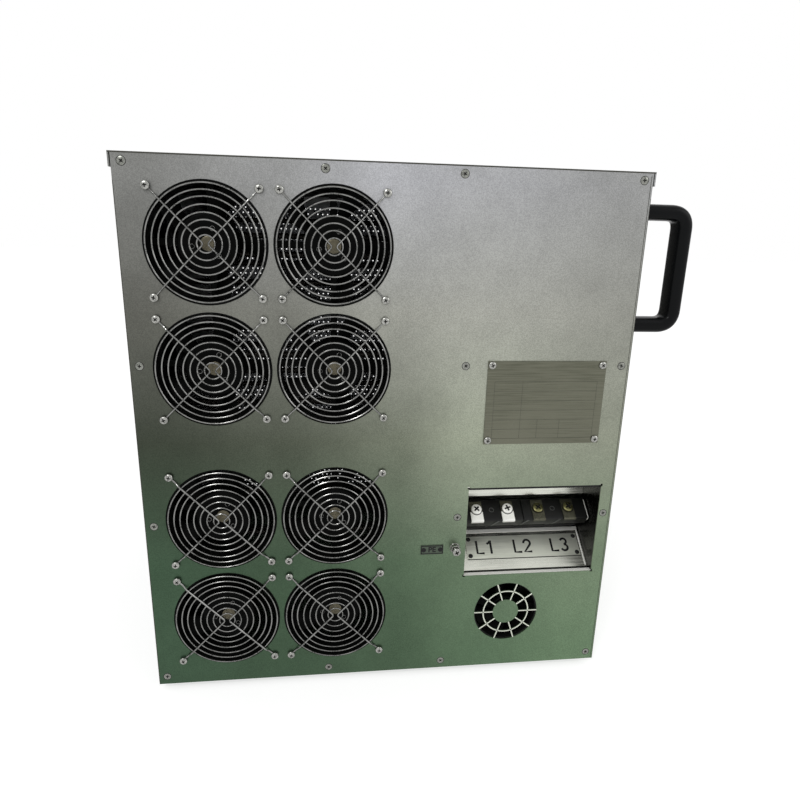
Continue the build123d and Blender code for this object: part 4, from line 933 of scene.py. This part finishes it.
# ---- controls ---
meter_low, meter_high = span("power_meter")
my, mz = (meter_low.y + meter_high.y) / 2, (meter_low.z + meter_high.z) / 2
meter = Piece("panel_meter", MOULDED, SCREEN)
meter.at(facing(side, my, mz, RIGHT))
half, inner = 48.0, 39.0


def square_ring(reach, lift, edge=3.0, steps=4):
    ring = []
    for cx, cy, start in ((1, 1, 0), (-1, 1, 90), (-1, -1, 180), (1, -1, 270)):
        corner = (cx * (reach - edge), cy * (reach - edge), edge)
        ring += [(x, y, lift) for x, y in arc(corner, start, start + 90, steps)]
    return ring


meter.loops([square_ring(half, 0.0), square_ring(half, 6.0), square_ring(half - 0.8, 7.4),
             square_ring(half - 2.2, 8.0), square_ring(inner, 8.0, 2.0), square_ring(inner - 1.0, 6.0, 1.5)])
meter.loops([square_ring(inner - 1.05, 5.6, 1.5), square_ring(inner - 1.05, 6.3, 1.5)], 1)
meter.block((-45.5, -45.5, -61.5), (45.5, 45.5, 0.0), 1.5)
meter.done("cabinet", "black_plastic", "power_meter")

lamp_low, lamp_high = span("pilot_lamps")
lamps = Piece("domed_lamps", LENS, COLLAR, MOULDED)
lamp_y = [lamp_low.y + 14.5 + i * ((lamp_high.y - lamp_low.y) - 29.0) / 2 for i in range(3)]
lamp_z = (lamp_low.z + lamp_high.z) / 2
for y in lamp_y:
    lamps.at(facing(side, y, lamp_z, RIGHT))
    lamps.lathe([(11.0, 0.0), (14.2, 0.0), (14.5, 0.4), (14.5, 2.2), (13.4, 3.8), (11.9, 4.0),
                 (11.2, 3.2), (11.0, 2.4)], 48, 1, closed=True)
    lamps.lathe([(0, 0.5), (10.9, 0.5), (10.9, 4.2), (10.2, 5.8), (8.0, 7.1), (4.4, 7.8), (0, 8.0)], 48, 0)
    lamps.lathe([(0, -43.0), (10.6, -43.0), (11.0, -42.5), (11.0, 0.0), (0, 0.0)], 32, 2)
lamps.done("cabinet", "lamp_lens", "pilot_lamps")

bases = Piece("switch_collars", COLLAR, MOULDED)
for number in range(1, 6):
    centre = middle(f"selector_knob_{number}")
    bases.at(facing(side, centre.y, centre.z, RIGHT))
    bases.lathe([(3.2, 0.0), (14.2, 0.0), (14.5, 0.3), (14.5, 2.2), (13.2, 3.8), (12.2, 4.0), (3.2, 4.0)],
                48, 0, closed=True)
    bases.lathe([(3.2, -42.0), (10.6, -42.0), (11.0, -41.6), (11.0, 0.0), (3.2, 0.0)], 32, 1, closed=True)
    knob = Piece(f"pointer_knob_{number}", MOULDED, WHITE_MARK)
    knob.at(facing(side + 4.3, centre.y, centre.z, RIGHT))
    knob.lathe([(0, 0.0), (11.5, 0.0), (11.8, 0.3), (11.6, 4.4), (11.0, 6.2), (9.6, 7.0), (0, 7.0)], 48)
    upright = facing(side + 4.3, centre.y, centre.z, RIGHT).to_3x3().inverted() @ Vector(UP)
    tilt = math.atan2(upright.y, upright.x)
    knob.frame = knob.frame @ Matrix.Rotation(tilt, 4, "Z")
    bar = arc((8.6, 0, 3.2), -90, 90, 8) + arc((-8.6, 0, 3.2), 90, 270, 8)
    knob.loops([[(x, y, 5.5) for x, y in bar], [(x, y, 15.6) for x, y in bar],
                [(x * 0.97, y * 0.86, 16.7) for x, y in bar], [(x * 0.92, y * 0.6, 17.0) for x, y in bar]])
    knob.block((2.5, -0.55, 16.6), (10.6, 0.55, 17.0), 0, 1, 1)
    knob.lathe([(0, -8.0), (2.8, -8.0), (3.0, -7.8), (3.0, 0.0), (0, 0.0)], 24)
    knob.done(f"selector_{number}", "black_plastic", f"selector_knob_{number}")
bases.done("cabinet", "chrome_trim", "selector_bases")

stop = middle("estop_base")
collar = Piece("stop_collar", YELLOW, MOULDED)
collar.at(facing(side, stop.y, stop.z, RIGHT))
collar.lathe([(7.2, 0.0), (29.4, 0.0), (30.0, 0.5), (29.8, 1.7), (28.6, 2.4), (27.0, 2.5), (7.2, 2.5)],
             64, 0, closed=True)
collar.lathe([(7.2, -42.0), (10.8, -42.0), (10.8, 0.0), (7.2, 0.0)], 32, 1, closed=True)
collar.done("cabinet", "yellow_plastic", "estop_base")
head_low, head_high = span("estop_head")
neck = head_low.x - side
mushroom = Piece("mushroom_head", RED)
mushroom.at(facing(side, stop.y, stop.z, RIGHT))
top = head_high.x - side
crown = [(20.0, neck + 7.4), (20.0, neck + 9.6)]
crown += [(20.0 * math.cos(math.radians(a)), neck + 9.6 + (top - neck - 9.6) * math.sin(math.radians(a)))
          for a in (12, 24, 36, 48, 60, 72, 82)]
mushroom.lathe([(3.1, neck), (11.6, neck), (12.0, neck + 0.4), (12.0, neck + 5.6), (12.6, neck + 6.1),
                (19.2, neck + 6.2)] + crown + [(0.0, top)], 56)
mushroom.done("estop_cap", "red_plastic", "estop_head")

inlet_low, inlet_high = span("power_inlet")
inlet_y = (inlet_low.y + inlet_high.y) / 2
inlet_z = (inlet_low.z + inlet_high.z) / 2
socket_z = inlet_z - 11.5
pins = Piece("inlet_pins", HEADS)
for dy, dz in ((0, 3.6), (-7.0, -1.0), (7.0, -1.0)):
    pins.at()
    pins.block((inlet_high.x - 16.0, inlet_y + dy - 2.0, socket_z + dz - 1.0),
               (inlet_high.x - 3.0, inlet_y + dy + 2.0, socket_z + dz + 1.0), 0.4)
pins.done("cabinet", "nickel")

# ---- air duct ---
tube_low, tube_high = span("resistor_tubes")
elements = Piece("finned_elements", SHEATH)
ROWS, STAGGER, TUBE_HALF = 8, 0.33, 6.93       # TUBE_HALF is half of the CAD tube's height
run = tube_high.x - tube_low.x
fins = round((run - 24.0) / 7.0)
outline = [(0, 0), (4.0, 0)]
for i in range(fins):
    foot_z = 12.0 + i * (run - 24.0) / fins
    outline += [(4.0, foot_z), (7.8, foot_z + 0.3), (7.8, foot_z + 0.9), (4.0, foot_z + 1.2)]
outline += [(4.0, run), (0, run)]
row_step = ((tube_high.z - tube_low.z) - 2 * TUBE_HALF) / (ROWS - 1 + 2 * STAGGER)
for column in range(3):
    y = tube_low.y + 8.0 + column * ((tube_high.y - tube_low.y) - 16.0) / 2
    for row in range(ROWS):
        z = tube_low.z + TUBE_HALF + (row + STAGGER * column) * row_step
        elements.at(facing(tube_low.x, y, z, RIGHT))
        elements.lathe(outline, 14)
elements.done("cabinet", "resistor_steel", "resistor_tubes")

grille_low, grille_high = span("outlet_grille")
window_x0, window_x1 = grille_low.x + 10.0, grille_high.x - 10.0
window_z0, window_z1 = grille_low.z + 5.0, grille_high.z - 5.0
sheet = Piece("perforated_sheet", ZINC)
HOLE_PITCH, HOLE_R = 8.5, 1.15
cols = round((window_x1 - window_x0) / HOLE_PITCH)
rows = round((window_z1 - window_z0) / HOLE_PITCH)
px, pz = (window_x1 - window_x0) / cols, (window_z1 - window_z0) / rows
y_in, y_out = grille_low.y, grille_high.y
points = {}


def sheet_point(x, y, z):
    key = (round(x, 3), round(y, 3), round(z, 3))
    if key not in points:
        points[key] = sheet.point((x, y, z))
    return points[key]


def sheet_face(*corners):
    sheet.face([sheet_point(x, y, z) for (x, z), y in corners])


sheet.at()
for row in range(rows):
    z0 = window_z0 + row * pz
    odd = row % 2
    for col in range(cols - odd):
        x0 = window_x0 + (col + odd / 2) * px
        square = [(x0 + px / 2 * a, z0 + pz / 2 * b) for a, b in
                  ((0, 0), (1, 0), (2, 0), (2, 1), (2, 2), (1, 2), (0, 2), (0, 1))]
        hole = [(x0 + px / 2 + HOLE_R * math.cos(math.radians(225 + 45 * i)),
                 z0 + pz / 2 + HOLE_R * math.sin(math.radians(225 + 45 * i))) for i in range(8)]
        for i in range(8):
            j = (i + 1) % 8
            for y in (y_in, y_out):
                sheet_face((square[i], y), (square[j], y), (hole[j], y), (hole[i], y))
            sheet_face((hole[i], y_in), (hole[j], y_in), (hole[j], y_out), (hole[i], y_out))
    if odd:
        for a, b in ((window_x0, window_x0 + px / 2), (window_x1, window_x1 - px / 2)):
            for y in (y_in, y_out):
                sheet_face(((a, z0), y), ((b, z0), y), ((b, z0 + pz / 2), y), ((b, z0 + pz), y),
                           ((a, z0 + pz), y))
for x0, x1, z0, z1 in ((grille_low.x, window_x0, grille_low.z, grille_high.z),
                       (window_x1, grille_high.x, grille_low.z, grille_high.z),
                       (window_x0, window_x1, grille_low.z, window_z0),
                       (window_x0, window_x1, window_z1, grille_high.z)):
    sheet.block((x0, y_in, z0), (x1, y_out, z1))
sheet.done("cabinet", "zinc_steel", "outlet_grille")

# ---- feet ---
foot_low, foot_high = span("feet")
feet = Piece("rubber_feet", RUBBER, HEADS)
for x in (foot_low.x + 15, foot_high.x - 15):
    for y in (foot_low.y + 15, foot_high.y - 15):
        feet.at(facing(x, y, foot_low.z, UP))
        feet.lathe([(5.5, 0.0), (12.6, 0.0), (13.4, 0.7), (14.9, 9.6), (14.9, 10.0), (3.0, 10.0),
                    (3.0, 4.0), (5.5, 4.0)], 40, 0, closed=True)
        feet.lathe([(0, 4.1), (4.6, 4.1), (4.8, 4.6), (4.4, 5.6), (0, 6.0)], 28, 1)
feet.done("cabinet", "black_rubber", "feet")

# ---- stage ---
floor_mesh = bpy.data.meshes.new("floor")
floor_mesh.from_pydata([(-12, -12, 0), (12, -12, 0), (12, 12, 0), (-12, 12, 0)], [], [(0, 1, 2, 3)])
floor = bpy.data.objects.new("floor", floor_mesh)
link(floor)
pale = bpy.data.materials.new("pale_floor")
pale.use_nodes = True
tree = pale.node_tree
shader = tree.nodes["Principled BSDF"]
shader.inputs["Base Color"].default_value = (0.48, 0.48, 0.48, 1)
shader.inputs["Roughness"].default_value = 0.9
shader.inputs["Specular IOR Level"].default_value = 0.1


def seen_directly(tree):
    """1 for rays from the camera, a mirror or glass, so that these see the pale background."""
    path = tree.nodes.new("ShaderNodeLightPath")
    total = path.outputs["Is Camera Ray"]
    for name in ("Is Glossy Ray", "Is Transmission Ray"):
        either = tree.nodes.new("ShaderNodeMath")
        either.operation = "MAXIMUM"
        tree.links.new(total, either.inputs[0])
        tree.links.new(path.outputs[name], either.inputs[1])
        total = either.outputs[0]
    return total


glow = tree.nodes.new("ShaderNodeEmission")
level = tree.nodes.new("ShaderNodeMath")
level.operation = "MULTIPLY"
level.inputs[1].default_value = 0.66
tree.links.new(seen_directly(tree), level.inputs[0])
tree.links.new(level.outputs[0], glow.inputs["Strength"])
joined = tree.nodes.new("ShaderNodeAddShader")
tree.links.new(shader.outputs[0], joined.inputs[0])
tree.links.new(glow.outputs[0], joined.inputs[1])
tree.links.new(joined.outputs[0], tree.nodes["Material Output"].inputs["Surface"])
floor_mesh.materials.append(pale)

world = bpy.data.worlds.new("studio")
bpy.context.scene.world = world
world.use_nodes = True
tree = world.node_tree
sky = tree.nodes["Background"]
power = tree.nodes.new("ShaderNodeMapRange")
power.inputs["To Min"].default_value = 0.75
power.inputs["To Max"].default_value = 1.0
tree.links.new(seen_directly(tree), power.inputs["Value"])
tree.links.new(power.outputs[0], sky.inputs["Strength"])
sky.inputs["Color"].default_value = (1, 1, 1, 1)


def lamp(name, place, target, size, watts):
    data = bpy.data.lights.new(name, "AREA")
    data.shape = "DISK"
    data.size = size
    data.energy = watts
    made = bpy.data.objects.new(name, data)
    made.location = place
    made.rotation_euler = (Vector(target) - Vector(place)).to_track_quat("-Z", "Y").to_euler()
    link(made)


lamp("key", (-1.2, -2.2, 2.4), (0, 0, 0.3), 0.8, 28)
lamp("fill", (2.4, -1.6, 1.6), (0, 0, 0.3), 1.8, 14)

# ---- camera at the photographed angle ---
camera_data = bpy.data.cameras.new("camera")
camera_data.sensor_width = 36.0
camera_data.lens = 27.57
camera = bpy.data.objects.new("camera", camera_data)
right = Vector((0.9925, -0.1195, 0.0259)).normalized()
forward = Vector((0.1220, 0.9553, -0.2693)).normalized()
up = right.cross(forward).normalized()
right = forward.cross(up).normalized()
turn = Matrix((right, up, -forward)).transposed().to_4x4()
camera.matrix_world = Matrix.Translation(CABINET @ Vector((-71.22, -632.66, 523.92))) @ turn
link(camera)
bpy.context.scene.camera = camera
bpy.context.scene.view_settings.view_transform = "Standard"
